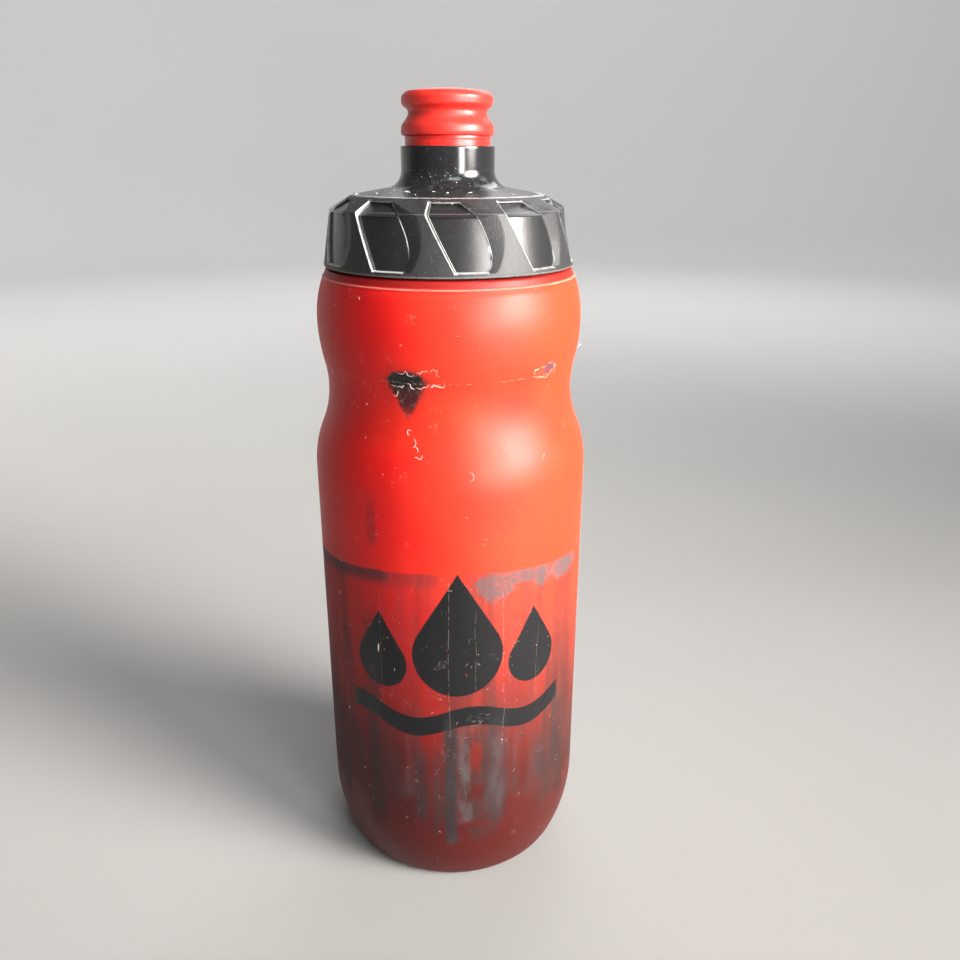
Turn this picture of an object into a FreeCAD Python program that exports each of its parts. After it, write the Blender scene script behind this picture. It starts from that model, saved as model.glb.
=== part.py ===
import FreeCAD, Part
import math
import os
import re
import Sketcher

# A soft bicycle bottle with a screw cap and a push-pull nozzle.
# Frame: origin at the centre of the base plane, +Z up the axis, -Y is the printed front.

SIZES = [
    # alias, value, what it is (mm, degrees and plain counts)
    ("body_radius", 36.75, "straight wall, outside: the size that a bottle cage holds"),
    ("wall", 1.4, "blow-moulded wall"),
    ("ring_outer", 27.4, "standing ring, outer edge"),
    ("ring_inner", 24.0, "standing ring, inner edge"),
    ("push_up", 4.0, "rise of the base at its centre"),
    ("heel_arc", 6.0, "small arc of the base corner"),
    ("lower_arc", 46.0, "long arc from the base corner to the straight wall"),
    ("shoulder_arc", 28.0, "arc from the straight wall into the waist"),
    ("waist_arc", 26.8, "hollow arc of the waist"),
    ("waist_radius", 32.24, "narrowest radius of the waist"),
    ("bulge_arc", 46.0, "arc of the upper bulge"),
    ("bulge_radius", 34.3, "widest radius of the upper bulge"),
    ("bulge_height", 159.2, "height of the widest point of the upper bulge"),
    ("crown_arc", 28.5, "arc from that widest point up to the crease"),
    ("crease_height", 169.9, "height of the crease above the bulge"),
    ("shoulder_radius", 31.4, "outer edge of the flat shoulder under the cap"),
    ("shoulder_height", 171.7, "height of that edge"),
    ("neck_foot", 172.9, "height where the shoulder meets the neck"),
    ("neck_radius", 26.0, "neck, outside"),
    ("neck_wall", 1.6, "neck wall"),
    ("neck_top", 184.0, "height of the neck's lip"),
    ("thread_pitch", 5.0, "rise of the thread in one turn"),
    ("thread_turns", 1.25, "turns of each ridge"),
    ("thread_foot", 2.1, "ridge width at its foot"),
    ("thread_side", 0.5, "axial width of each flank"),
    ("thread_crest", 1.1, "ridge width at its crest"),
    ("thread_height", 1.2, "ridge height on the neck"),
    ("thread_start", 175.4, "height of the neck ridge's start"),
    ("embed", 0.4, "depth that a ridge is rooted in its wall"),
    ("rim_height", 172.3, "height of the cap's rim"),
    ("rim_radius", 31.8, "cap skirt at the rim"),
    ("rim_band", 1.1, "plain band above the rim"),
    ("rim_bore", 30.2, "inside of the skirt at the rim"),
    ("flare_height", 4.7, "height of the inside flare above the rim"),
    ("skirt_bore", 27.6, "inside of the skirt"),
    ("skirt_radius", 29.6, "cap skirt at its top"),
    ("skirt_height", 13.7, "height of the skirt above the rim"),
    ("dome_radius", 24.0, "edge of the dome"),
    ("dome_height", 16.9, "height of that edge above the rim"),
    ("flare_radius", 15.05, "foot of the fillet round the collar"),
    ("flare_foot", 18.45, "height of that foot above the rim"),
    ("flare_arc", 4.2, "fillet round the collar"),
    ("collar_radius", 11.6, "collar, outside"),
    ("collar_foot", 22.6, "where the collar's straight wall starts"),
    ("collar_top", 28.1, "top of the collar above the rim"),
    ("collar_bore", 10.6, "collar, inside"),
    ("seat_height", 13.25, "underside of the cap over the neck"),
    ("seat_inner", 21.5, "inner edge of that underside"),
    ("vault_radius", 20.0, "inside of the dome, outer edge"),
    ("vault_low", 14.6, "inside of the dome, at that edge"),
    ("vault_high", 15.1, "inside of the dome, at the boss"),
    ("boss_radius", 15.2, "boss under the dome"),
    ("boss_foot", 8.2, "lower end of the boss above the rim"),
    ("insert_radius", 13.2, "recess for the valve insert"),
    ("insert_height", 1.8, "thickness of the insert's disc"),
    ("chamber_foot", 10.3, "lower end of the bead's chamber"),
    ("chamber_radius", 12.0, "chamber in which the stem's bead travels"),
    ("chamber_top", 17.7, "stop that keeps the bead in"),
    ("guide_foot", 18.7, "where the collar's bore starts"),
    ("pad_count", 10, "grip pads round the skirt"),
    ("pad_depth", 0.9, "depth of the pads"),
    ("pad_top_radius", 25.4, "upper end of the pads on the chamfer"),
    ("pad_top_height", 16.1, "height of that end above the rim"),
    ("rib_reach", 36.0, "length of the rib blocks before trimming"),
    ("rib_turn", 22.0, "azimuth of the first rib"),
    ("rib_left_top", 7.5, "rib's left edge at the dome, left of its plane"),
    ("rib_left_mid", 5.0, "rib's left edge at the skirt's top"),
    ("rib_left_low", 1.6, "rib's left edge at the rim band"),
    ("rib_right_top", 2.1, "rib's right edge at the skirt's top, right of its plane"),
    ("rib_right_low", 9.0, "rib's right edge at the rim band"),
    ("gasket_gap", 0.15, "gap from the neck's lip to the gasket"),
    ("gasket_inner", 22.0, "gasket, inside"),
    ("gasket_outer", 27.2, "gasket, outside"),
    ("gasket_height", 1.3, "gasket, thickness"),
    ("post_radius", 2.3, "valve post"),
    ("tip_radius", 3.3, "plug at the top of the post"),
    ("tip_foot", 28.6, "lower end of the plug above the disc"),
    ("tip_top", 32.1, "upper end of the plug above the disc"),
    ("port_radius", 2.9, "water ports in the disc"),
    ("port_circle", 7.8, "radius of the circle that they lie on"),
    ("port_count", 5, "water ports"),
    ("stem_height", 183.3, "height of the stem's lower end"),
    ("stem_radius", 10.5, "stem in the collar"),
    ("stem_bore", 7.0, "inside of the stem"),
    ("bead_radius", 11.7, "snap bead"),
    ("bead_height", 1.6, "thickness of the bead"),
    ("groove_radius", 9.1, "floor of the seal's groove"),
    ("groove_low", 9.3, "lower side of the groove above the stem's end"),
    ("groove_high", 11.1, "upper side of the groove"),
    ("step_height", 19.5, "step under the mouthpiece, above the stem's end"),
    ("core_radius", 8.2, "stem inside the mouthpiece"),
    ("core_top", 26.9, "top of the stem"),
    ("barb_radius", 8.8, "barb that holds the mouthpiece"),
    ("barb_low", 22.4, "lower side of the barb"),
    ("barb_high", 23.6, "upper side of the barb"),
    ("sleeve_gap", 0.05, "gap round the stem in the mouthpiece"),
    ("sleeve_foot_radius", 11.2, "mouthpiece at its lower edge"),
    ("sleeve_low_radius", 11.4, "lower bulge of the mouthpiece"),
    ("sleeve_low_foot", 0.5, "where that bulge starts above the edge"),
    ("sleeve_low_top", 2.2, "where it ends"),
    ("sleeve_waist_radius", 9.6, "waist of the mouthpiece"),
    ("sleeve_waist_low", 4.5, "lower end of the waist"),
    ("sleeve_waist_high", 6.0, "upper end of the waist"),
    ("lip_radius", 11.1, "bite lip"),
    ("lip_low", 7.9, "lower side of the lip"),
    ("lip_high", 8.9, "upper side of the lip"),
    ("crown_radius", 10.2, "edge of the mouthpiece's top"),
    ("crown_foot", 9.8, "height of that edge"),
    ("crown_height", 10.6, "height of the mouthpiece"),
    ("lip_under_arc", 2.2, "hollow arc under the lip"),
    ("lip_edge_arc", 1.1, "rounded shoulder of the lip"),
    ("mouth_radius", 3.4, "drinking hole"),
    ("seal_section", 0.7, "section radius of the stem's seal"),
    ("seal_radius", 9.85, "radius of the seal's centre line"),
    ("seal_height", 10.2, "height of the seal above the stem's end"),
]

AXIS_OF_X, AXIS_OF_Z = -1, -2  # the sketch's own horizontal and vertical axes
START, END, CENTRE = 1, 2, 3
ALIAS = re.compile(r"[a-z][a-z_]*")

doc = FreeCAD.newDocument("bicycle_bottle")
sheet = doc.addObject("Spreadsheet::Sheet", "Sizes")
for row, (alias, number, meaning) in enumerate(SIZES, start=1):
    sheet.set("A%d" % row, alias)
    sheet.set("B%d" % row, str(number))
    sheet.set("C%d" % row, meaning)
    sheet.setAlias("B%d" % row, alias)
doc.recompute()


def bound(expression):
    """The expression with each alias read from the sheet."""
    return ALIAS.sub(lambda found: "Sizes." + found.group(), expression)


def size(expression):
    """The number that an expression of aliases has now."""
    return float(sheet.evalExpression(expression))


def new_body(label, height=None):
    """A body whose own zero lies at the given height."""
    body = doc.addObject("PartDesign::Body", label)
    body.Label = label
    if height is not None:
        body.setExpression("Placement.Base.z", bound(height))
    return body


def new_sketch(body, name, role="XZ_Plane"):
    """A sketch on one of the body's own origin planes."""
    plane = next(p for p in body.Origin.OriginFeatures if p.Role == role)
    sketch = body.newObject("Sketcher::SketchObject", name)
    sketch.AttachmentSupport = [(plane, "")]
    sketch.MapMode = "FlatFace"
    return sketch


def drive(sketch, constraint, expression):
    """Adds a dimension and binds it to the sheet."""
    index = sketch.addConstraint(constraint)
    sketch.setExpression("Constraints[%d]" % index, bound(expression))


def fix_point(sketch, piece, end, across, up):
    """Holds a point at its distances from the sketch's origin, or on an axis where that is zero."""
    if abs(size(across)) < 1e-9:
        sketch.addConstraint(Sketcher.Constraint("PointOnObject", piece, end, AXIS_OF_Z))
    else:
        drive(sketch, Sketcher.Constraint("DistanceX", -1, START, piece, end, size(across)), across)
    if abs(size(up)) < 1e-9:
        sketch.addConstraint(Sketcher.Constraint("PointOnObject", piece, end, AXIS_OF_X))
    else:
        drive(sketch, Sketcher.Constraint("DistanceY", -1, START, piece, end, size(up)), up)


def arc_between(first, last, radius, left):
    """The shorter arc from first to last; its centre lies left or right of the way."""
    chord = last - first
    reach = math.sqrt(radius**2 - (chord.Length / 2) ** 2)
    normal = FreeCAD.Vector(-chord.y, chord.x, 0) / chord.Length
    centre = (first + last) / 2 + normal * (reach if left else -reach)
    begin, finish = (first, last) if left else (last, first)
    angles = [math.atan2(p.y - centre.y, p.x - centre.x) for p in (begin, finish)]
    if angles[1] < angles[0]:
        angles[1] += 2 * math.pi
    circle = Part.Circle(centre, FreeCAD.Vector(0, 0, 1), radius)
    return Part.ArcOfCircle(circle, *angles)


def outline(sketch, corners):
    """A closed outline. A corner is (across, up), with (radius, "left" or "right") after it where an
    arc leads to the next corner."""
    points = [FreeCAD.Vector(size(c[0]), size(c[1]), 0) for c in corners]
    ends = []
    for index, corner in enumerate(corners):
        first, last = points[index], points[(index + 1) % len(points)]
        if len(corner) == 4:
            left = corner[3] == "left"
            piece = sketch.addGeometry(arc_between(first, last, size(corner[2]), left))
            drive(sketch, Sketcher.Constraint("Radius", piece, size(corner[2])), corner[2])
            ends.append((piece, START, END) if left else (piece, END, START))
        else:
            piece = sketch.addGeometry(Part.LineSegment(first, last))
            ends.append((piece, START, END))
    for index, corner in enumerate(corners):
        before, here = ends[index - 1], ends[index]
        sketch.addConstraint(Sketcher.Constraint("Coincident", before[0], before[2], here[0], here[1]))
        fix_point(sketch, here[0], here[1], corner[0], corner[1])


def revolve(body, sketch, kind="Revolution"):
    """A full turn of the sketch about the vertical axis: a Revolution, or a Groove that cuts."""
    feature = body.newObject("PartDesign::" + kind, kind.lower() + "_" + sketch.Name)
    feature.Profile = sketch
    feature.ReferenceAxis = (sketch, ["V_Axis"])
    feature.Angle = 360.0
    return feature


def turned(label, height, name, corners):
    """A body made by one revolution of one outline."""
    body = new_body(label, height)
    sketch = new_sketch(body, name)
    outline(sketch, corners)
    revolve(body, sketch)
    return body


def ridge(body, name, foot, crest, start):
    """A helical ridge that is rooted in a wall. foot and crest are radii, start is its height."""
    sketch = new_sketch(body, name)
    outline(
        sketch,
        [
            (foot, start),
            (crest, start + " + thread_side"),
            (crest, start + " + thread_side + thread_crest"),
            (foot, start + " + thread_foot"),
        ],
    )
    helix = body.newObject("PartDesign::AdditiveHelix", name + "_helix")
    helix.Profile = sketch
    helix.ReferenceAxis = (sketch, ["V_Axis"])
    helix.Mode = "pitch-turns-angle"
    helix.setExpression("Pitch", bound("thread_pitch"))
    helix.setExpression("Turns", bound("thread_turns"))
    return helix


def arc_about(sketch, centre, radius, low, high):
    """An arc given by its centre, radius and the angles of its ends, in radians."""
    circle = Part.Circle(FreeCAD.Vector(*centre, 0), FreeCAD.Vector(0, 0, 1), radius)
    return sketch.addGeometry(Part.ArcOfCircle(circle, low, high))


def line(sketch, first, last):
    return sketch.addGeometry(Part.LineSegment(FreeCAD.Vector(*first, 0), FreeCAD.Vector(*last, 0)))


def tangent_height(low_centre, high_across, distance):
    """Height of a centre that lies the given distance from a lower centre."""
    return low_centre[1] + math.sqrt(distance**2 - (high_across - low_centre[0]) ** 2)


def heading(origin, target):
    return math.atan2(target[1] - origin[1], target[0] - origin[0])


def shell_outline(sketch, inset, neck, lid):
    """The bottle's wave-shaped wall, moved inwards by inset: one chain of tangent arcs from the base
    to the neck. neck is its radius and lid the height where it is closed."""
    gap = size(inset)
    names = ("heel_arc", "lower_arc", "shoulder_arc", "waist_arc", "bulge_arc")
    heel, lower, shoulder, waist, bulge = (size(name) for name in names)
    body, ring = size("body_radius"), (size("ring_inner"), size("ring_outer"))

    # Centres of the arcs. Touching arcs have their centres in line with the point where they meet.
    heel_centre = (ring[1], heel)
    lower_across = body - lower
    lower_centre = (lower_across, tangent_height(heel_centre, lower_across, lower - heel))
    bulge_centre = (size("bulge_radius") - bulge, size("bulge_height"))
    crown = size("crown_arc")
    crown_centre = (size("bulge_radius") - crown, size("bulge_height"))
    waist_across = size("waist_radius") + waist
    drop = math.sqrt((bulge + waist) ** 2 - (waist_across - bulge_centre[0]) ** 2)
    waist_centre = (waist_across, bulge_centre[1] - drop)
    shoulder_across = body - shoulder
    drop = math.sqrt((shoulder + waist) ** 2 - (waist_across - shoulder_across) ** 2)
    shoulder_centre = (shoulder_across, waist_centre[1] - drop)

    # Base: a dome, then the flat standing ring.
    rise, half = size("push_up"), ring[0]
    dome_arc = (half**2 + rise**2) / (2 * rise)
    dome_centre = (0.0, rise + gap - dome_arc)
    dome_low = heading(dome_centre, (ring[0], gap))
    dome = arc_about(sketch, dome_centre, dome_arc, dome_low, math.pi / 2)
    sketch.addConstraint(Sketcher.Constraint("PointOnObject", dome, CENTRE, AXIS_OF_Z))
    fix_point(sketch, dome, END, "0", "push_up + " + inset)
    fix_point(sketch, dome, START, "ring_inner", inset)
    ring_line = line(sketch, (ring[0], gap), (ring[1], gap))
    sketch.addConstraint(Sketcher.Constraint("Coincident", dome, START, ring_line, START))
    sketch.addConstraint(Sketcher.Constraint("Horizontal", ring_line))
    across = Sketcher.Constraint("DistanceX", -1, START, ring_line, END, ring[1])
    drive(sketch, across, "ring_outer")

    # Side wall, from below upwards.
    meet = heading(lower_centre, heel_centre)
    heel_piece = arc_about(sketch, heel_centre, heel - gap, -math.pi / 2, meet)
    lower_piece = arc_about(sketch, lower_centre, lower - gap, meet, 0.0)
    wall = body - gap
    wall_piece = line(sketch, (wall, lower_centre[1]), (wall, shoulder_centre[1]))
    meet = heading(shoulder_centre, waist_centre)
    shoulder_piece = arc_about(sketch, shoulder_centre, shoulder - gap, 0.0, meet)
    back = heading(waist_centre, bulge_centre)
    waist_piece = arc_about(sketch, waist_centre, waist + gap, back, meet + math.pi)
    bulge_piece = arc_about(sketch, bulge_centre, bulge - gap, back - math.pi, 0.0)
    crease = math.asin((size("crease_height") - gap / 2 - crown_centre[1]) / (crown - gap))
    crown_piece = arc_about(sketch, crown_centre, crown - gap, 0.0, crease)

    drive(sketch, Sketcher.Constraint("Radius", heel_piece, heel - gap), "heel_arc - " + inset)
    drive(sketch, Sketcher.Constraint("Radius", lower_piece, lower - gap), "lower_arc - " + inset)
    across = Sketcher.Constraint("DistanceX", -1, START, wall_piece, START, wall)
    drive(sketch, across, "body_radius - " + inset)
    sketch.addConstraint(Sketcher.Constraint("Vertical", wall_piece))
    radius = Sketcher.Constraint("Radius", shoulder_piece, shoulder - gap)
    drive(sketch, radius, "shoulder_arc - " + inset)
    drive(sketch, Sketcher.Constraint("Radius", waist_piece, waist + gap), "waist_arc + " + inset)
    across = Sketcher.Constraint("DistanceX", -1, START, waist_piece, CENTRE, waist_across)
    drive(sketch, across, "waist_radius + waist_arc")
    drive(sketch, Sketcher.Constraint("Radius", bulge_piece, bulge - gap), "bulge_arc - " + inset)
    up = Sketcher.Constraint("DistanceY", -1, START, bulge_piece, CENTRE, bulge_centre[1])
    drive(sketch, up, "bulge_height")
    # The bulge's centre lies beyond the axis, so its distance is measured from the centre inwards.
    across = Sketcher.Constraint("DistanceX", bulge_piece, CENTRE, -1, START, -bulge_centre[0])
    drive(sketch, across, "bulge_arc - bulge_radius")
    drive(sketch, Sketcher.Constraint("Radius", crown_piece, crown - gap), "crown_arc - " + inset)
    up = Sketcher.Constraint("DistanceY", -1, START, crown_piece, CENTRE, crown_centre[1])
    drive(sketch, up, "bulge_height")
    touching = (
        (ring_line, END, heel_piece, START),
        (heel_piece, END, lower_piece, START),
        (lower_piece, END, wall_piece, START),
        (wall_piece, END, shoulder_piece, START),
        (shoulder_piece, END, waist_piece, END),
        (waist_piece, START, bulge_piece, START),
        (bulge_piece, END, crown_piece, START),
    )
    for joint in touching:
        sketch.addConstraint(Sketcher.Constraint("Tangent", *joint))

    # Crease, flat shoulder, neck and the closing lines to the axis.
    top = crown_centre[0] + (crown - gap) * math.cos(crease)
    corners = [
        ("shoulder_radius - " + inset, "shoulder_height - " + inset),
        (neck, "neck_foot - " + inset),
        (neck, lid),
        ("0", lid),
    ]
    start = (top, size("crease_height") - gap / 2)
    up = Sketcher.Constraint("DistanceY", -1, START, crown_piece, END, start[1])
    drive(sketch, up, "crease_height - %s / 2" % inset)
    last_piece, last_end = crown_piece, END
    for across, up in corners:
        finish = (size(across), size(up))
        piece = line(sketch, start, finish)
        sketch.addConstraint(Sketcher.Constraint("Coincident", last_piece, last_end, piece, START))
        fix_point(sketch, piece, END, across, up)
        start, last_piece, last_end = finish, piece, END
    axis_piece = line(sketch, start, (0.0, rise + gap))
    sketch.addConstraint(Sketcher.Constraint("Coincident", last_piece, END, axis_piece, START))
    sketch.addConstraint(Sketcher.Constraint("Coincident", axis_piece, END, dome, END))


def make_bottle():
    body = new_body("bottle_body")
    outside = new_sketch(body, "outside")
    shell_outline(outside, "0", "neck_radius", "neck_top")
    revolve(body, outside)
    inside = new_sketch(body, "inside")
    shell_outline(inside, "wall", "neck_radius - neck_wall", "neck_top")
    revolve(body, inside, "Groove")
    ridge(body, "neck_thread", "neck_radius - embed", "neck_radius + thread_height", "thread_start")
    return body


def make_cap():
    """Skirt, dome and collar. The pads are what stays low between the ribs that cross the skirt."""
    body = new_body("screw_cap", "rim_height")
    floor = new_sketch(body, "cap_core")
    slope = "(rim_radius - skirt_radius) / skirt_height"
    outline(
        floor,
        [
            ("0", "0"),
            ("rim_radius", "0"),
            ("rim_radius - %s * rim_band" % slope, "rim_band"),
            ("rim_radius - %s * rim_band - pad_depth" % slope, "rim_band"),
            ("skirt_radius - pad_depth", "skirt_height - pad_depth / 2"),
            ("pad_top_radius", "pad_top_height - pad_depth"),
            ("pad_top_radius", "pad_top_height"),
            ("dome_radius", "dome_height"),
            ("flare_radius", "flare_foot", "flare_arc", "right"),
            ("collar_radius", "collar_foot"),
            ("collar_radius", "collar_top"),
            ("0", "collar_top"),
        ],
    )
    revolve(body, floor)

    rib = new_sketch(body, "rib")
    turn = FreeCAD.Rotation(FreeCAD.Vector(0, 1, 0), size("rib_turn"))
    rib.AttachmentOffset = FreeCAD.Placement(FreeCAD.Vector(), turn)
    rib.setExpression("AttachmentOffset.Rotation.Angle", bound("rib_turn"))
    left = [
        ("0 - rib_left_top", "dome_height"),
        ("0 - rib_left_mid", "skirt_height"),
        ("0 - rib_left_low", "rim_band / 2"),
    ]
    right = [
        ("rib_right_low", "rim_band / 2"),
        ("rib_right_top", "skirt_height"),
        ("rib_right_top", "dome_height"),
    ]
    outline(rib, left + right)
    block = body.newObject("PartDesign::Pad", "rib_block")
    block.Profile = rib
    block.setExpression("Length", bound("rib_reach"))
    ribs = body.newObject("PartDesign::PolarPattern", "ribs")
    ribs.Originals = [block]
    ribs.Axis = (floor, ["V_Axis"])
    ribs.Angle = 360.0
    ribs.setExpression("Occurrences", bound("pad_count"))
    body.Tip = ribs

    envelope = new_sketch(body, "envelope")
    outline(
        envelope,
        [
            ("rim_radius", "0"),
            ("rim_radius + rim_radius", "0"),
            ("rim_radius + rim_radius", "collar_top"),
            ("dome_radius", "collar_top"),
            ("dome_radius", "dome_height"),
            ("skirt_radius", "skirt_height"),
        ],
    )
    revolve(body, envelope, "Groove")

    hollow = new_sketch(body, "hollow")
    outline(
        hollow,
        [
            ("0", "0"),
            ("rim_bore", "0"),
            ("skirt_bore", "flare_height"),
            ("skirt_bore", "seat_height"),
            ("seat_inner", "seat_height"),
            ("vault_radius", "vault_low"),
            ("boss_radius", "vault_high"),
            ("boss_radius", "boss_foot"),
            ("insert_radius", "boss_foot"),
            ("insert_radius", "chamber_foot"),
            ("chamber_radius", "chamber_foot"),
            ("chamber_radius", "chamber_top"),
            ("collar_bore", "guide_foot"),
            ("collar_bore", "collar_top"),
            ("0", "collar_top"),
        ],
    )
    revolve(body, hollow, "Groove")
    # The inside ridge lies half a pitch below the neck's, so both screw past each other freely.
    start = "thread_start - thread_pitch / 2 - rim_height"
    ridge(body, "cap_thread", "skirt_bore + embed", "skirt_bore - thread_height", start)
    return body


def make_gasket():
    ring = [
        ("gasket_inner", "0"),
        ("gasket_outer", "0"),
        ("gasket_outer", "gasket_height"),
        ("gasket_inner", "gasket_height"),
    ]
    return turned("cap_gasket", "neck_top + gasket_gap", "gasket_section", ring)


def make_insert():
    """Disc and centre post in one turn, then the ports through the disc."""
    section = [
        ("0", "0"),
        ("insert_radius", "0"),
        ("insert_radius", "insert_height"),
        ("post_radius", "insert_height"),
        ("post_radius", "tip_foot - tip_radius + post_radius"),
        ("tip_radius", "tip_foot"),
        ("tip_radius", "tip_top - tip_radius / 2"),
        ("tip_radius / 2", "tip_top"),
        ("0", "tip_top"),
    ]
    body = turned("valve_insert", "rim_height + boss_foot", "insert_section", section)
    port = new_sketch(body, "port", "XY_Plane")
    circle = Part.Circle(
        FreeCAD.Vector(size("port_circle"), 0, 0), FreeCAD.Vector(0, 0, 1), size("port_radius")
    )
    piece = port.addGeometry(circle)
    drive(port, Sketcher.Constraint("Radius", piece, size("port_radius")), "port_radius")
    fix_point(port, piece, CENTRE, "port_circle", "0")
    hole = body.newObject("PartDesign::Pocket", "port_hole")
    hole.Profile = port
    hole.Reversed = True
    hole.setExpression("Length", bound("insert_height"))
    ports = body.newObject("PartDesign::PolarPattern", "ports")
    ports.Originals = [hole]
    ports.Axis = (port, ["N_Axis"])
    ports.Angle = 360.0
    ports.setExpression("Occurrences", bound("port_count"))
    body.Tip = ports
    return body


def make_stem():
    section = [
        ("stem_bore", "0"),
        ("bead_radius", "0"),
        ("bead_radius", "bead_height"),
        ("stem_radius", "bead_height"),
        ("stem_radius", "groove_low"),
        ("groove_radius", "groove_low"),
        ("groove_radius", "groove_high"),
        ("stem_radius", "groove_high"),
        ("stem_radius", "step_height"),
        ("core_radius", "step_height"),
        ("core_radius", "barb_low"),
        ("barb_radius", "barb_low"),
        ("core_radius", "barb_high"),
        ("core_radius", "core_top"),
        ("stem_bore", "core_top"),
    ]
    return turned("nozzle_stem", "stem_height", "stem_section", section)


def make_mouthpiece():
    """Soft sleeve: bulge, waist and lip outside, the stem's core and barb inside."""
    barb = ("barb_low - step_height", "barb_high - step_height")
    section = [
        ("core_radius + sleeve_gap", "0"),
        ("sleeve_foot_radius", "0"),
        ("sleeve_low_radius", "sleeve_low_foot"),
        ("sleeve_low_radius", "sleeve_low_top"),
        ("sleeve_waist_radius", "sleeve_waist_low"),
        ("sleeve_waist_radius", "sleeve_waist_high", "lip_under_arc", "right"),
        ("lip_radius", "lip_low"),
        ("lip_radius", "lip_high", "lip_edge_arc", "left"),
        ("crown_radius", "crown_foot"),
        ("mouth_radius", "crown_height"),
        ("mouth_radius", "core_top - step_height + sleeve_gap"),
        ("core_radius + sleeve_gap", "core_top - step_height + sleeve_gap"),
        ("core_radius + sleeve_gap", barb[1] + " + sleeve_gap"),
        ("barb_radius + sleeve_gap", barb[0] + " - sleeve_gap"),
        ("core_radius + sleeve_gap", barb[0] + " - sleeve_gap"),
    ]
    return turned("mouthpiece", "stem_height + step_height", "sleeve_section", section)


def make_seal():
    ring = doc.addObject("Part::Torus", "nozzle_seal")
    ring.Label = "nozzle_seal"
    ring.setExpression("Radius1", bound("seal_radius"))
    ring.setExpression("Radius2", bound("seal_section"))
    ring.setExpression("Placement.Base.z", bound("stem_height + seal_height"))
    return ring


pieces = [
    make_bottle(),
    make_cap(),
    make_gasket(),
    make_insert(),
    make_stem(),
    make_mouthpiece(),
    make_seal(),
]
doc.recompute()

failed = [o.Name for o in doc.Objects if {"Invalid", "Error"} & set(o.State)]
if failed:
    raise RuntimeError("these objects failed: " + ", ".join(failed))
for piece in pieces:
    if piece.Shape.isNull() or not piece.Shape.isValid():
        raise RuntimeError("no valid shape: " + piece.Label)

os.makedirs("parts", exist_ok=True)
for piece in pieces:
    piece.Shape.exportStep("parts/%s.step" % piece.Label)
    box = piece.Shape.BoundBox
    print(
        "%-13s solids %d  volume %8.1f mm3  z %6.2f to %6.2f  radius %5.2f"
        % (piece.Label, len(piece.Shape.Solids), piece.Shape.Volume, box.ZMin, box.ZMax, box.XMax)
    )
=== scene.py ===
import math
import random

import bmesh
import bpy
from mathutils import Matrix, Vector, noise


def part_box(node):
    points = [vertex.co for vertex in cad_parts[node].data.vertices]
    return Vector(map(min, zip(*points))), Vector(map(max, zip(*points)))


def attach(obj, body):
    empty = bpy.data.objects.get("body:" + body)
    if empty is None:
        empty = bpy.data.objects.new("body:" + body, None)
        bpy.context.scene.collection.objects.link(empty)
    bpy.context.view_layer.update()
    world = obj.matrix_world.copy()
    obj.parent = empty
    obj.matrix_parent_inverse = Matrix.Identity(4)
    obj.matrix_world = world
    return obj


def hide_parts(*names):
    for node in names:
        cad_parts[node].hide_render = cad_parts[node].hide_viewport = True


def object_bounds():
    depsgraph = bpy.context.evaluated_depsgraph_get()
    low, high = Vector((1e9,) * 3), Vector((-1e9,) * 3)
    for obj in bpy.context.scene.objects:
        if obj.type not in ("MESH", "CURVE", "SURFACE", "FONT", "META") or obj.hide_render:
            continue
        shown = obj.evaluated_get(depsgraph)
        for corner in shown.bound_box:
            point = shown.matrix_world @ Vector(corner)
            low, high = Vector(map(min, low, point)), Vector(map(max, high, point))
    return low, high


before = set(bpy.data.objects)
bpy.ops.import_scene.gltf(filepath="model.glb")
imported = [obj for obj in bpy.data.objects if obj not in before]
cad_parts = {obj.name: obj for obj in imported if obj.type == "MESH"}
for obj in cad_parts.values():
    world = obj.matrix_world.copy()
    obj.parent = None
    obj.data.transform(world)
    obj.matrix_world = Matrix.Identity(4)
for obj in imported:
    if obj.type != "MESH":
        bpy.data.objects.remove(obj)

# A soft bicycle bottle: translucent red shell, black screw cap with slanted pads, red push-pull nozzle.
# Lengths in this file are millimetres in the frame's axes, and MM turns them into metres.
MM = 0.001
FULL_TURN = 2 * math.pi
cad_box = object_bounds()


def node_box(node):
    """Lowest and highest corner of a CAD node, in millimetres."""
    low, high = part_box(node)
    return low / MM, high / MM


# ---------------------------------------------------------------- sizes, from the frame

SHELL_HIGH = node_box("bottle_body")[1]
CAP_LOW, CAP_HIGH = node_box("screw_cap")
STEM_LOW, STEM_HIGH = node_box("nozzle_stem")
SLEEVE_LOW, SLEEVE_HIGH = node_box("mouthpiece")
GASKET_LOW, GASKET_HIGH = node_box("cap_gasket")

BODY_RADIUS = SHELL_HIGH.x
WALL = 1.4
RING_OUTER, RING_INNER, PUSH_UP = 27.4, 24.0, 4.0
HEEL_ARC, LOWER_ARC, SHOULDER_ARC = 6.0, 46.0, 28.0
WAIST_ARC, BULGE_ARC, CROWN_ARC = 26.8, 46.0, 28.5
WAIST_RADIUS = 32.24
BULGE_RADIUS, BULGE_HEIGHT = 34.3, 159.2
CREASE_HEIGHT = 169.9
SHOULDER_RADIUS, SHOULDER_HEIGHT = 31.4, 171.7
NECK_FOOT, NECK_RADIUS, NECK_WALL, NECK_TOP = 172.9, 26.0, 1.6, SHELL_HIGH.z
PITCH, THREAD_TURNS, THREAD_HEIGHT, THREAD_START = 5.0, 1.25, 1.2, 175.4
THREAD_SIDE, THREAD_CREST = 0.5, 1.1
MOUTH_ROUNDING = 0.5
SHELL_SEAM, SLEEVE_SEAM = math.radians(96), math.radians(25)    # the moulds' parting lines

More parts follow.
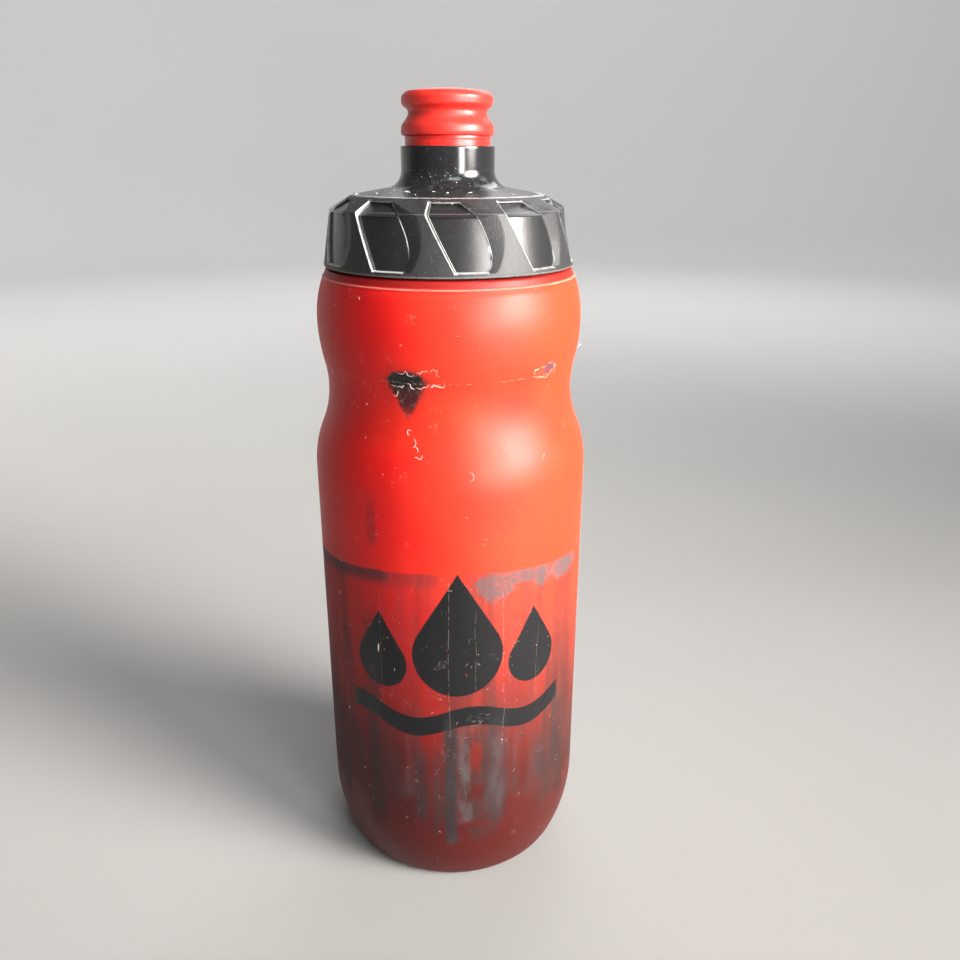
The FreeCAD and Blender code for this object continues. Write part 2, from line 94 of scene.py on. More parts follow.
RIM = CAP_LOW.z
RIM_RADIUS = CAP_HIGH.x
RIM_BAND, RIM_BORE, FLARE_HEIGHT, SKIRT_BORE = 1.1, 30.2, 4.7, 27.6
SKIRT_RADIUS, SKIRT_HEIGHT = 29.6, 13.7
DOME_RADIUS, DOME_HEIGHT = 24.0, 16.9
COLLAR_RADIUS, COLLAR_FOOT, COLLAR_TOP, COLLAR_BORE = 11.6, 22.6, CAP_HIGH.z - RIM, 10.6
FLARE_RADIUS, FLARE_FOOT, FLARE_ARC = 15.05, 18.45, 4.2
PAD_COUNT, PAD_DEPTH = 10, 0.9
PAD_TOP_RADIUS, PAD_TOP_HEIGHT = 25.4, 16.1
GUIDE_FOOT, CHAMBER_TOP, CHAMBER_FOOT, CHAMBER_RADIUS = 18.7, 17.7, 10.3, 12.0
BOSS_RADIUS, BOSS_BORE, BOSS_FOOT = 15.2, 13.2, 8.2
VAULT_RADIUS, VAULT_HIGH, VAULT_LOW = 20.0, 15.1, 14.6
SEAT_RADIUS, SEAT_HEIGHT = 21.5, 13.25

STEM_RADIUS, STEM_BORE, BEAD_RADIUS, BEAD_HEIGHT = 10.5, 7.0, 11.7, 1.6
GROOVE_RADIUS, GROOVE_LOW, GROOVE_HIGH = 9.1, 9.3, 11.1
SCORE_RADIUS = 10.44            # a fine line round the stem, just under the mouthpiece
CORE_RADIUS, BARB_RADIUS, BARB_LOW, BARB_HIGH = 8.2, 8.8, 22.4, 23.6
SLEEVE_BORE, SLEEVE_SHELF, MOUTH_RADIUS = 8.25, 7.45, 3.4
GASKET_INNER = 22.0

FLOOR_HEIGHT = cad_box[0].z / MM
# The camera that the photo was taken with: its distance from the bottle's axis, its height over the
# floor, how far it looks down and to the right, and its roll.
CAMERA_DISTANCE, CAMERA_HEIGHT = 227.1, 198.0
CAMERA_DOWN, CAMERA_RIGHT, CAMERA_ROLL = (math.radians(v) for v in (20.61, 2.05, 0.12))
FOCAL_LENGTH, SENSOR = 32.25, 36.0


# ---------------------------------------------------------------- outlines: lists of (radius, height)


def sampled_line(first, last, step):
    """Points from first up to, but not including, last."""
    count = max(1, round(math.dist(first, last) / step))
    return [
        (first[0] + (last[0] - first[0]) * k / count, first[1] + (last[1] - first[1]) * k / count)
        for k in range(count)
    ]


def sampled_arc(centre, radius, begin, finish, step):
    """Points along an arc between two angles, without the last."""
    count = max(2, round(abs(finish - begin) * radius / step))
    angles = [begin + (finish - begin) * k / count for k in range(count)]
    return [(centre[0] + radius * math.cos(a), centre[1] + radius * math.sin(a)) for a in angles]


def short_arc(centre, radius, first, last, step):
    """Points along the shorter way round from first to last, without the last."""
    begin = heading(centre, first)
    turn = wrapped(heading(centre, last) - begin)
    return sampled_arc(centre, radius, begin, begin + turn, step)


def rounded(corners, step, closed=True):
    """A chain of straight runs. A corner is (radius, height) or (radius, height, rounding)."""
    points = []
    count = len(corners)
    for index, corner in enumerate(corners):
        here = Vector(corner[:2])
        before = Vector(corners[index - 1][:2])
        after = Vector(corners[(index + 1) % count][:2])
        at_end = not closed and index in (0, count - 1)
        if len(corner) == 2 or at_end:
            enter = leave = here
        else:
            back, ahead = (before - here).normalized(), (after - here).normalized()
            half = math.acos(max(-1.0, min(1.0, back.dot(ahead)))) / 2
            reach = corner[2] / math.tan(half)
            enter, leave = here + back * reach, here + ahead * reach
            centre = here + (back + ahead).normalized() * corner[2] / math.sin(half)
        if points:
            points += sampled_line(points.pop(), tuple(enter), step)
        if enter is leave:
            points.append(tuple(here))
        else:
            points += short_arc(centre, corner[2], enter, leave, max(0.12, corner[2] * 0.3))
            points.append(tuple(leave))
    if closed:
        points += sampled_line(points.pop(), points[0], step)
    return points


def heading(origin, target):
    return math.atan2(target[1] - origin[1], target[0] - origin[0])


def wrapped(angle):
    """The same direction, between half a turn either way."""
    return (angle + math.pi) % FULL_TURN - math.pi


def shell_wall(inset, step):
    """The bottle's wall from the middle of the base up to the crease, moved inwards by inset: one
    chain of arcs that touch, so each meeting point lies in line with two centres."""
    heel = (RING_OUTER, HEEL_ARC)
    across = BODY_RADIUS - LOWER_ARC
    rise = math.sqrt((LOWER_ARC - HEEL_ARC) ** 2 - (across - heel[0]) ** 2)
    lower = (across, heel[1] + rise)
    bulge = (BULGE_RADIUS - BULGE_ARC, BULGE_HEIGHT)
    across = WAIST_RADIUS + WAIST_ARC
    waist = (across, bulge[1] - math.sqrt((BULGE_ARC + WAIST_ARC) ** 2 - (across - bulge[0]) ** 2))
    across = BODY_RADIUS - SHOULDER_ARC
    drop = math.sqrt((SHOULDER_ARC + WAIST_ARC) ** 2 - (waist[0] - across) ** 2)
    shoulder = (across, waist[1] - drop)

    dome_arc = (RING_INNER**2 + PUSH_UP**2) / (2 * PUSH_UP)
    dome = (0.0, PUSH_UP + inset - dome_arc)
    edge = heading(dome, (RING_INNER, inset))
    points = sampled_arc(dome, dome_arc, math.pi / 2, edge, step * 1.5)
    points += sampled_line((RING_INNER, inset), (RING_OUTER, inset), step)
    meet = heading(lower, heel)
    points += sampled_arc(heel, HEEL_ARC - inset, -math.pi / 2, meet, step)
    points += sampled_arc(lower, LOWER_ARC - inset, meet, 0.0, step)
    wall = BODY_RADIUS - inset
    points += sampled_line((wall, lower[1]), (wall, shoulder[1]), step)
    meet = heading(shoulder, waist)
    points += sampled_arc(shoulder, SHOULDER_ARC - inset, 0.0, meet, step)
    back = heading(waist, bulge)
    points += sampled_arc(waist, WAIST_ARC + inset, meet + math.pi, back, step)
    points += sampled_arc(bulge, BULGE_ARC - inset, back - math.pi, 0.0, step)
    crown, reach = (BULGE_RADIUS - CROWN_ARC, BULGE_HEIGHT), CROWN_ARC - inset
    crease = math.asin((CREASE_HEIGHT - inset / 2 - crown[1]) / reach)
    points += sampled_arc(crown, reach, 0.0, crease, step)
    points.append((crown[0] + reach * math.cos(crease), crown[1] + reach * math.sin(crease)))
    return points


# ---------------------------------------------------------------- meshes


def lattice(name, rows, segments, closed, place):
    """A skin of revolution. rows are (radius, height), place(row, column) gives (radius, azimuth,
    height) of each point. Azimuth 0 is the front. A row of radius 0 is a single point."""
    vertices, index, faces = [], [], []
    for row, (radius, height) in enumerate(rows):
        if radius < 1e-6:
            index.append([len(vertices)] * segments)
            vertices.append((0.0, 0.0, height * MM))
            continue
        ring = []
        for column in range(segments):
            r, azimuth, z = place(row, column)
            ring.append(len(vertices))
            vertices.append((r * math.sin(azimuth) * MM, -r * math.cos(azimuth) * MM, z * MM))
        index.append(ring)
    last = len(rows) if closed else len(rows) - 1
    for row in range(last):
        low, high = index[row], index[(row + 1) % len(rows)]
        for column in range(segments):
            after = (column + 1) % segments
            corners = [low[column], low[after], high[after], high[column]]
            face = list(dict.fromkeys(corners))
            if len(face) > 2:
                faces.append(face)
    piece = add_mesh(name, vertices, faces)
    piece.data.validate()
    return piece


def add_mesh(name, vertices, faces):
    mesh = bpy.data.meshes.new(name)
    mesh.from_pydata(vertices, [], faces)
    piece = bpy.data.objects.new(name, mesh)
    bpy.context.scene.collection.objects.link(piece)
    return piece


def finish_mesh(piece, sharp_angle=50.0):
    """Faces point outwards and shade smoothly, apart from edges past the angle."""
    mesh = piece.data
    work = bmesh.new()
    work.from_mesh(mesh)
    bmesh.ops.recalc_face_normals(work, faces=work.faces)
    work.to_mesh(mesh)
    work.free()
    mesh.shade_smooth()
    mesh.set_sharp_from_angle(angle=math.radians(sharp_angle))
    mesh.update()
    return piece


def turned(name, rows, segments, sharp_angle=50.0, closed=True, bump=None):
    """A plain turned piece; bump(azimuth, height, row) adds to the radius."""

    def place(row, column):
        azimuth = FULL_TURN * column / segments - math.pi
        radius, height = rows[row]
        extra = bump(azimuth, height, row) if bump else 0.0
        return radius + extra, azimuth, height

    return finish_mesh(lattice(name, rows, segments, closed, place), sharp_angle)


def paint(piece, name, value):
    """A number for each vertex, from value(azimuth, radius, height) in radians and millimetres."""
    layer = piece.data.attributes.new(name, "FLOAT", "POINT")
    numbers = []
    for vertex in piece.data.vertices:
        x, y, z = (v / MM for v in vertex.co)
        numbers.append(value(math.atan2(x, -y), math.hypot(x, y), z))
    layer.data.foreach_set("value", numbers)


def ramp(value, low, high):
    """0 at low, 1 at high, smooth between; low may be the larger."""
    t = max(0.0, min(1.0, (value - low) / (high - low)))
    return t * t * (3 - 2 * t)


def ridge_height(azimuth, height, start):
    """How far a helical ridge stands out of its wall at a point, from 0 to 1. start is the height
    where it begins, at azimuth 90 degrees, as on the CAD's helix."""
    turn = (azimuth - math.pi / 2) / FULL_TURN
    best = 0.0
    for lap in range(-1, 3):
        along = turn + lap
        if not 0.0 <= along <= THREAD_TURNS:
            continue
        offset = height - (start + PITCH * along)
        width = 2 * THREAD_SIDE + THREAD_CREST
        if 0.0 < offset < width:
            side = min(offset, width - offset) / THREAD_SIDE
            taper = min(1.0, along * 25, (THREAD_TURNS - along) * 25)
            best = max(best, min(1.0, side) * taper)
    return best


# ---------------------------------------------------------------- bottle shell


def shell_rows():
    """Outline of the shell: outside upwards, over the lip, and back down the inside. A fine bead of
    flash runs round the crease where the wall meets the shoulder."""
    outside = shell_wall(0.0, 1.1)
    crease = outside.pop()
    outside += rounded(
        [
            outside[-1],
            (crease[0] + 0.12, crease[1] - 0.7, 0.3), (crease[0] + 0.22, crease[1] - 0.05, 0.2),
            (crease[0] - 0.2, crease[1] + 0.15, 0.15), (SHOULDER_RADIUS, SHOULDER_HEIGHT, 0.6),
            (NECK_RADIUS, NECK_FOOT, 0.5), (NECK_RADIUS, NECK_TOP, MOUTH_ROUNDING),
            (NECK_RADIUS - NECK_WALL, NECK_TOP, MOUTH_ROUNDING),
            (NECK_RADIUS - NECK_WALL, NECK_FOOT - WALL, 0.8),
            (SHOULDER_RADIUS - WALL, SHOULDER_HEIGHT - WALL),
        ],
        0.35,
        closed=False,
    )[1:]
    inside = shell_wall(WALL, 2.2)
    return outside + inside[::-1]


def make_shell():
    rows = shell_rows()
    lip_row = max(range(len(rows)), key=lambda row: rows[row][1])

    def bump(azimuth, height, row):
        """The neck's thread, and the mould's two parting lines."""
        radius = rows[row][0]
        outer = row <= lip_row and height > NECK_FOOT + 0.2 and radius > NECK_RADIUS - 0.05
        if outer:
            return THREAD_HEIGHT * ridge_height(azimuth, height, THREAD_START)
        if row < lip_row and height < CREASE_HEIGHT and radius > RING_INNER:
            seam = abs(abs(azimuth) - SHELL_SEAM) * radius
            return 0.06 * (1 - ramp(seam, 0.1, 0.9))
        return 0.0

    return turned("bottle_shell", rows, 384, 55.0, closed=False, bump=bump)


# ---------------------------------------------------------------- screw cap

EDGE = 0.22             # width of the pads' walls
SECTOR = FULL_TURN / PAD_COUNT
SECTOR_DEGREES = 360.0 / PAD_COUNT
PAD_LEFT = (-10.0, -10.0, 2.5)      # azimuth of a pad's left wall: pad top, skirt top, bottom
PAD_RIGHT = (5.5, 12.4, 19.0)       # its right edge at the same heights
SCOOP_RIGHT = (6.5, 21.7, 19.8)     # right edge of the hollow beside the pad
SCOOP_BELLY = 3.6                   # how far that edge bows out at mid height, degrees
SCOOP_DROP, SCOOP_SLOPE = 0.2, 0.34      # how far it starts below the pad, and its steepest rise


def skirt_share(height):
    """0 at the pads' lower edge, 1 at the skirt's top, 2 at the pads' upper edge."""
    if height <= SKIRT_HEIGHT:
        return max(0.0, (height - RIM_BAND) / (SKIRT_HEIGHT - RIM_BAND))
    return min(2.0, 1 + (height - SKIRT_HEIGHT) / (PAD_TOP_HEIGHT - SKIRT_HEIGHT))


def between(values, share):
    top, middle, low = values
    return low + (middle - low) * share if share <= 1 else middle + (top - middle) * (share - 1)


def pad_azimuths(height):
    """Left wall, right edge and scoop edge of the pad in front, in degrees, at a height."""
    share = skirt_share(height)
    left = between(PAD_LEFT, share)
    right = between(PAD_RIGHT, share)
    low = min(share, 1.0)
    right += 2.2 * math.sin(math.pi * low) - 2.6 * (1 - ramp(share, 0.0, 0.16)) ** 2
    scoop = between(SCOOP_RIGHT, share) + SCOOP_BELLY * math.sin(math.pi * low) ** 0.8
    return left, right, max(scoop, right + 0.8)


def cap_rows():
    """Outline of the cap above its rim, outside upwards and inside downwards, with a mark on each
    outer row that crosses the pads: 1 in a pad, 0 elsewhere."""
    slope = (RIM_RADIUS - SKIRT_RADIUS) / SKIRT_HEIGHT
    band_radius = RIM_RADIUS - slope * RIM_BAND
    lower = rounded(
        [(RIM_BORE, 0.0), (RIM_RADIUS, 0.0, 0.35), (band_radius, RIM_BAND)], 0.5, closed=False
    )[:-1]
    rows = [(r, z, 0) for r, z in lower]
    rows.append((band_radius, RIM_BAND, 0))
    first = (band_radius - slope * EDGE, RIM_BAND + EDGE)
    skirt = rounded(
        [first, (SKIRT_RADIUS, SKIRT_HEIGHT, 0.5), (PAD_TOP_RADIUS, PAD_TOP_HEIGHT)], 0.5, closed=False
    )
    rows += [(r, z, 1) for r, z in skirt]
    step = 0.12
    run = Vector((DOME_RADIUS - PAD_TOP_RADIUS, DOME_HEIGHT - PAD_TOP_HEIGHT)).normalized() * step
    flare = arc_through((FLARE_RADIUS, FLARE_FOOT), (COLLAR_RADIUS, COLLAR_FOOT), FLARE_ARC)
    upper = rounded(
        [
            (PAD_TOP_RADIUS + run.x, PAD_TOP_HEIGHT + run.y), (DOME_RADIUS, DOME_HEIGHT, 0.35),
            flare[0],
        ],
        0.7,
        closed=False,
    )
    upper += flare[1:]
    upper += rounded(
        [
            (COLLAR_RADIUS, COLLAR_FOOT), (COLLAR_RADIUS, COLLAR_TOP, 0.25),
            (COLLAR_BORE, COLLAR_TOP, 0.2), (COLLAR_BORE, GUIDE_FOOT), (CHAMBER_RADIUS, CHAMBER_TOP),
            (CHAMBER_RADIUS, CHAMBER_FOOT), (BOSS_BORE, CHAMBER_FOOT), (BOSS_BORE, BOSS_FOOT, 0.2),
            (BOSS_RADIUS, BOSS_FOOT, 0.3), (BOSS_RADIUS, VAULT_HIGH, 0.8),
            (VAULT_RADIUS, VAULT_LOW, 0.8), (SEAT_RADIUS, SEAT_HEIGHT), (SKIRT_BORE, SEAT_HEIGHT, 0.3),
            (SKIRT_BORE, FLARE_HEIGHT), (RIM_BORE, 0.3),
        ],
        0.45,
        closed=False,
    )
    return rows + [(r, z, 0) for r, z in upper]


def arc_through(first, last, radius):
    """The hollow fillet from the dome up to the collar."""
    a, b = Vector(first), Vector(last)
    chord = b - a
    reach = math.sqrt(radius**2 - (chord.length / 2) ** 2)
    centre = (a + b) / 2 + Vector((chord.y, -chord.x)).normalized() * reach
    return short_arc(centre, radius, a, b, 0.35) + [tuple(last)]


PAD_COLUMNS, SCOOP_COLUMNS, RIB_COLUMNS = 15, 10, 12


def sector_columns():
    """Kinds and shares of the columns of one sector, from the pad's left wall round to the next."""
    columns = [("left", 0.0)]
    columns += [("pad", k / PAD_COLUMNS) for k in range(PAD_COLUMNS + 1)]
    columns += [("scoop", k / SCOOP_COLUMNS) for k in range(SCOOP_COLUMNS + 1)]
    columns += [("rib", k / RIB_COLUMNS) for k in range(1, RIB_COLUMNS)]
    return columns


def make_cap():
    rows = cap_rows()
    columns = sector_columns()
    segments = len(columns) * PAD_COUNT
    inside_from = next(i for i, (r, z, p) in enumerate(rows) if abs(r - COLLAR_BORE) < 1e-6)

    def place(row, column):
        radius, height, in_pad = rows[row]
        sector, number = divmod(column, len(columns))
        kind, share = columns[number]
        left, right, scoop = pad_azimuths(height)
        middle = max(radius, 1.0)
        wall = math.degrees(EDGE / middle)
        depth = 0.0
        if kind == "left":
            azimuth = left - wall * 0.5
        elif kind == "pad":
            azimuth = left + wall * 0.5 + (right - left - wall) * share
            depth = PAD_DEPTH if in_pad else 0.0
        elif kind == "scoop":
            azimuth = right + wall * 0.5 + (scoop - right - wall * 0.5) * share
            across = math.radians(scoop - right) * middle
            deepest = min(PAD_DEPTH + SCOOP_DROP, SCOOP_SLOPE * across)
            depth = deepest * (1 - share) if in_pad else 0.0
        else:
            azimuth = scoop + (left + SECTOR_DEGREES - wall * 0.5 - scoop) * share
        azimuth = math.radians(azimuth) + SECTOR * sector
        if depth:
            if height > SKIRT_HEIGHT:
                height -= depth * 0.85
                radius -= depth * 0.5
            else:
                fold = ramp(height, SKIRT_HEIGHT - 1.0, SKIRT_HEIGHT)
                height -= depth * 0.5 * fold
                radius -= depth
        elif row > inside_from and abs(radius - SKIRT_BORE) < 0.02:
            start = THREAD_START - PITCH / 2 - RIM
            radius -= THREAD_HEIGHT * ridge_height(wrapped(azimuth), height, start)
        return radius, azimuth, height + RIM

    piece = lattice("cap_moulding", [(r, z) for r, z, p in rows], segments, True, place)
    return finish_mesh(piece, 38.0)


# ---------------------------------------------------------------- nozzle and gasket


def make_sleeve():
    """Soft mouthpiece: crown, bite lip, waist and lower bulge, over the stem's core and barb."""
    base = SLEEVE_LOW.z
    top = SLEEVE_HIGH.z - base
    rows = rounded(
        [
            (SLEEVE_BORE, 0.0), (11.2, 0.0, 0.15), (11.4, 0.8, 0.6), (11.3, 2.2, 1.5), (9.55, 4.5, 2.2),
            (9.6, 5.7, 1.0), (11.05, 6.8, 0.75), (11.2, 8.7, 1.0), (10.0, top - 0.75, 1.1),
            (5.0, top - 0.15, 3.0), (3.9, top - 0.1, 0.5), (MOUTH_RADIUS, top - 0.7, 0.4),
            (MOUTH_RADIUS, SLEEVE_SHELF, 0.2), (SLEEVE_BORE, SLEEVE_SHELF),
        ],
        0.3,
    )
    rows = [(r, z + base) for r, z in rows]

    def bump(azimuth, height, row):
        """The mould's parting line, a little right of the front and opposite it."""
        radius = rows[row][0]
        if radius < 9.0:
            return 0.0
        apart = min(abs(wrapped(azimuth - SLEEVE_SEAM)), abs(wrapped(azimuth - SLEEVE_SEAM + math.pi)))
        return 0.05 * (1 - ramp(apart * radius, 0.05, 0.35))

    return turned("soft_mouthpiece", rows, 320, 50.0, bump=bump)


def make_stem():
    base = STEM_LOW.z
    top = STEM_HIGH.z - base
    step = SLEEVE_LOW.z - base
    rows = rounded(
        [
            (STEM_BORE, 0.0, 0.3), (BEAD_RADIUS, 0.0, 0.5), (BEAD_RADIUS, BEAD_HEIGHT, 0.2),
            (STEM_RADIUS, BEAD_HEIGHT), (STEM_RADIUS, GROOVE_LOW, 0.15), (GROOVE_RADIUS, GROOVE_LOW),
            (GROOVE_RADIUS, GROOVE_HIGH), (STEM_RADIUS, GROOVE_HIGH, 0.15),
            (STEM_RADIUS, step - 1.35, 0.1), (SCORE_RADIUS, step - 1.25, 0.1),
            (SCORE_RADIUS, step - 0.9, 0.1), (STEM_RADIUS, step - 0.8, 0.1),
            (STEM_RADIUS, step - 0.05, 0.1), (CORE_RADIUS, step - 0.05), (CORE_RADIUS, BARB_LOW),
            (BARB_RADIUS, BARB_LOW), (CORE_RADIUS, BARB_HIGH), (CORE_RADIUS, top, 0.3),
            (STEM_BORE, top, 0.3),
        ],
        0.5,
    )
    return turned("stem_tube", [(r, z + base) for r, z in rows], 256, 40.0)


def make_gasket():
    low, high = GASKET_LOW.z, GASKET_HIGH.z
    corners = ((GASKET_INNER, low), (GASKET_HIGH.x, low), (GASKET_HIGH.x, high), (GASKET_INNER, high))
    return turned("gasket_ring", rounded([(r, z, 0.3) for r, z in corners], 0.5), 256, 60.0)


# ---------------------------------------------------------------- torn skin and lint

WALL_POINTS = sorted((z, r) for r, z in shell_wall(0.0, 1.1) if r > RING_OUTER)


def wall_radius(height):
    """The wall's outer radius at a height, between two points of its outline."""
    for (low, first), (high, second) in zip(WALL_POINTS, WALL_POINTS[1:]):
        if low <= height <= high:
            return first + (second - first) * (height - low) / (high - low)
    return WALL_POINTS[-1][1]


def on_wall(across, height, away):
    """A point in millimetres: across is measured round the wall from the front, to the right."""
    radius = wall_radius(height)
    azimuth = across / radius
    return Vector((math.sin(azimuth), -math.cos(azimuth), 0)) * (radius + away) + Vector((0, 0, height))


def add_sliver(vertices, faces, points, width, thickness):
    """A closed sliver along points, pointed at both ends. Its flat side lies against the wall."""
    last = len(points) - 1
    start = len(vertices)
    vertices.append(tuple(points[0] * MM))
    for k in range(1, last):
        along = (points[k + 1] - points[k - 1]).normalized()
        outward = Vector((points[k].x, points[k].y, 0)).normalized()
        side = along.cross(outward).normalized()
        outward = side.cross(along)
        taper = math.sin(math.pi * k / last) ** 0.6
        for a, b in ((1, 0), (0, 1), (-1, 0), (0, -1)):
            corner = points[k] + side * (a * width / 2 * taper) + outward * (b * thickness / 2 * taper)
            vertices.append(tuple(corner * MM))
    vertices.append(tuple(points[last] * MM))
    end = len(vertices) - 1
    for k in range(4):
        after = (k + 1) % 4
        faces.append((start, start + 1 + k, start + 1 + after))
        for ring in range(last - 2):
            a = start + 1 + ring * 4
            faces.append((a + k, a + k + 4, a + after + 4, a + after))
        faces.append((end, end - 4 + after, end - 4 + k))


def rim_path(middle, height, straight, arc, tilt):
    """Points 0.2 mm apart round a long slot shape, as (across, height)."""
    ends = straight + arc
    outline = rounded([(-ends, -arc, arc), (ends, -arc, arc), (ends, arc, arc), (-ends, arc, arc)], 0.2)
    origin = math.radians(middle) * wall_radius(height)
    return [(origin + u, height + v + tilt * u) for u, v in outline]


def make_torn_skin():
    """Pale slivers: the peeled edges of the two scuffs at the waist, curls below the first, and
    scattered nicks."""
    source = random.Random(11)
    noise.seed_set(11)      # without it noise_vector differs from one run to the next
    vertices, faces = [], []

    def sliver(path, width, lift):
        count = len(path)
        points = []
        for k, (across, height) in enumerate(path):
            rise = 0.03 + lift * math.sin(math.pi * k / (count - 1)) ** 2
            points.append(on_wall(across, height, rise))
        add_sliver(vertices, faces, points, width, 0.10)

    for middle, height, straight, arc, tilt in (
        (-13.9, 149.5, 4.6, 1.9, 0.0), (43.8, 149.6, 2.9, 1.2, 0.22),
    ):
        path = rim_path(middle, height, straight, arc, tilt)
        ragged = []
        for k, (across, up) in enumerate(path):
            spot = Vector((across, up, 5.0))
            wave = noise.noise_vector(spot * 0.5) * 1.5 + noise.noise_vector(spot * 2.1) * 0.7
            ragged.append((across + wave.x, up + wave.y))
        place = source.randrange(6)
        while place < len(ragged) - 5:
            length = source.randrange(6, 13)
            piece = ragged[place : place + length]
            if len(piece) > 4:
                sliver(piece, source.uniform(0.08, 0.17), source.uniform(0.0, 0.2))
            place += length + source.randrange(0, 4)

    # Curls: where they are, their size, first angle and sweep in radians.
    for across, height, size, begin, sweep in (
        (-9.9, 136.6, 0.45, 0.4, 4.6), (-9.3, 134.4, 0.9, 1.2, -2.6), (-8.6, 132.6, 0.7, 2.6, -3.4),
        (-7.4, 131.4, 0.5, 3.4, 3.3), (-8.3, 130.6, 0.4, 0.0, 2.8), (4.5, 126.6, 0.9, 2.0, -3.8),
        (25.0, 128.5, 0.6, 0.5, 3.4), (-13.4, 146.2, 0.8, 4.0, 2.8),
    ):
        steps = 12
        path = []
        for k in range(steps + 1):
            a = begin + sweep * k / steps
            radius = size * (1 + 0.35 * noise.noise(Vector((across, height, k * 0.3))))
            path.append((across + radius * math.cos(a), height + 1.3 * radius * math.sin(a)))
        sliver(path, 0.13, 0.15)

    in_front, all_nicks = 45, 70
    for k in range(all_nicks):
        across, height = source.uniform(-36, 36), source.uniform(20, 168)
        if k >= in_front:
            across += math.pi * wall_radius(height)
        length, lean = source.uniform(0.3, 1.4), source.uniform(0, math.pi)
        bend = source.uniform(-0.5, 0.5)
        path = []
        for j in range(7):
            t = j / 6 - 0.5
            u, v = length * t, bend * (0.25 - t * t)
            right = across + u * math.cos(lean) - v * math.sin(lean)
            path.append((right, height + u * math.sin(lean) + v * math.cos(lean)))
        sliver(path, source.uniform(0.04, 0.09), 0.04)

    # A flake that stands off the wall at the right, and a chip beside the print.
    flake = [(math.radians(79) * 33 + 0.25 * k, 151.6 + 0.3 * k) for k in range(7)]
    sliver(flake, 0.6, 0.7)
    chip = [(-20.6 + 0.03 * k, 76.4 + 0.35 * k) for k in range(9)]
    sliver(chip, 0.45, 0.04)

    return finish_mesh(add_mesh("torn_skin", vertices, faces), 60.0)


def make_lint():
    """Short hairs caught on the cap's dome."""
    source = random.Random(5)
    vertices, faces = [], []
    for k in range(46):
        azimuth = source.uniform(-math.pi, math.pi)
        radius = source.uniform(FLARE_RADIUS + 0.5, DOME_RADIUS - 0.6)
        share = (radius - FLARE_RADIUS) / (DOME_RADIUS - FLARE_RADIUS)
        height = RIM + FLARE_FOOT + (DOME_HEIGHT - FLARE_FOOT) * share + 0.05
        lean, length = source.uniform(0, FULL_TURN), source.uniform(0.3, 1.5)
        bend = source.uniform(-0.8, 0.8)
        middle = Vector((math.sin(azimuth) * radius, -math.cos(azimuth) * radius, height))
        points = []
        for j in range(8):
            t = j / 7 - 0.5
            along = Vector((math.cos(lean), math.sin(lean), 0)) * (length * t)
            aside = Vector((-math.sin(lean), math.cos(lean), 0)) * (bend * (0.25 - t * t))
            spot = middle + along + aside
            share = (math.hypot(spot.x, spot.y) - FLARE_RADIUS) / (DOME_RADIUS - FLARE_RADIUS)
            spot.z = RIM + FLARE_FOOT + (DOME_HEIGHT - FLARE_FOOT) * share + 0.04
            points.append(spot)
        add_sliver(vertices, faces, points, source.uniform(0.06, 0.14), 0.07)
    return finish_mesh(add_mesh("dome_lint", vertices, faces), 60.0)


# ---------------------------------------------------------------- node helpers


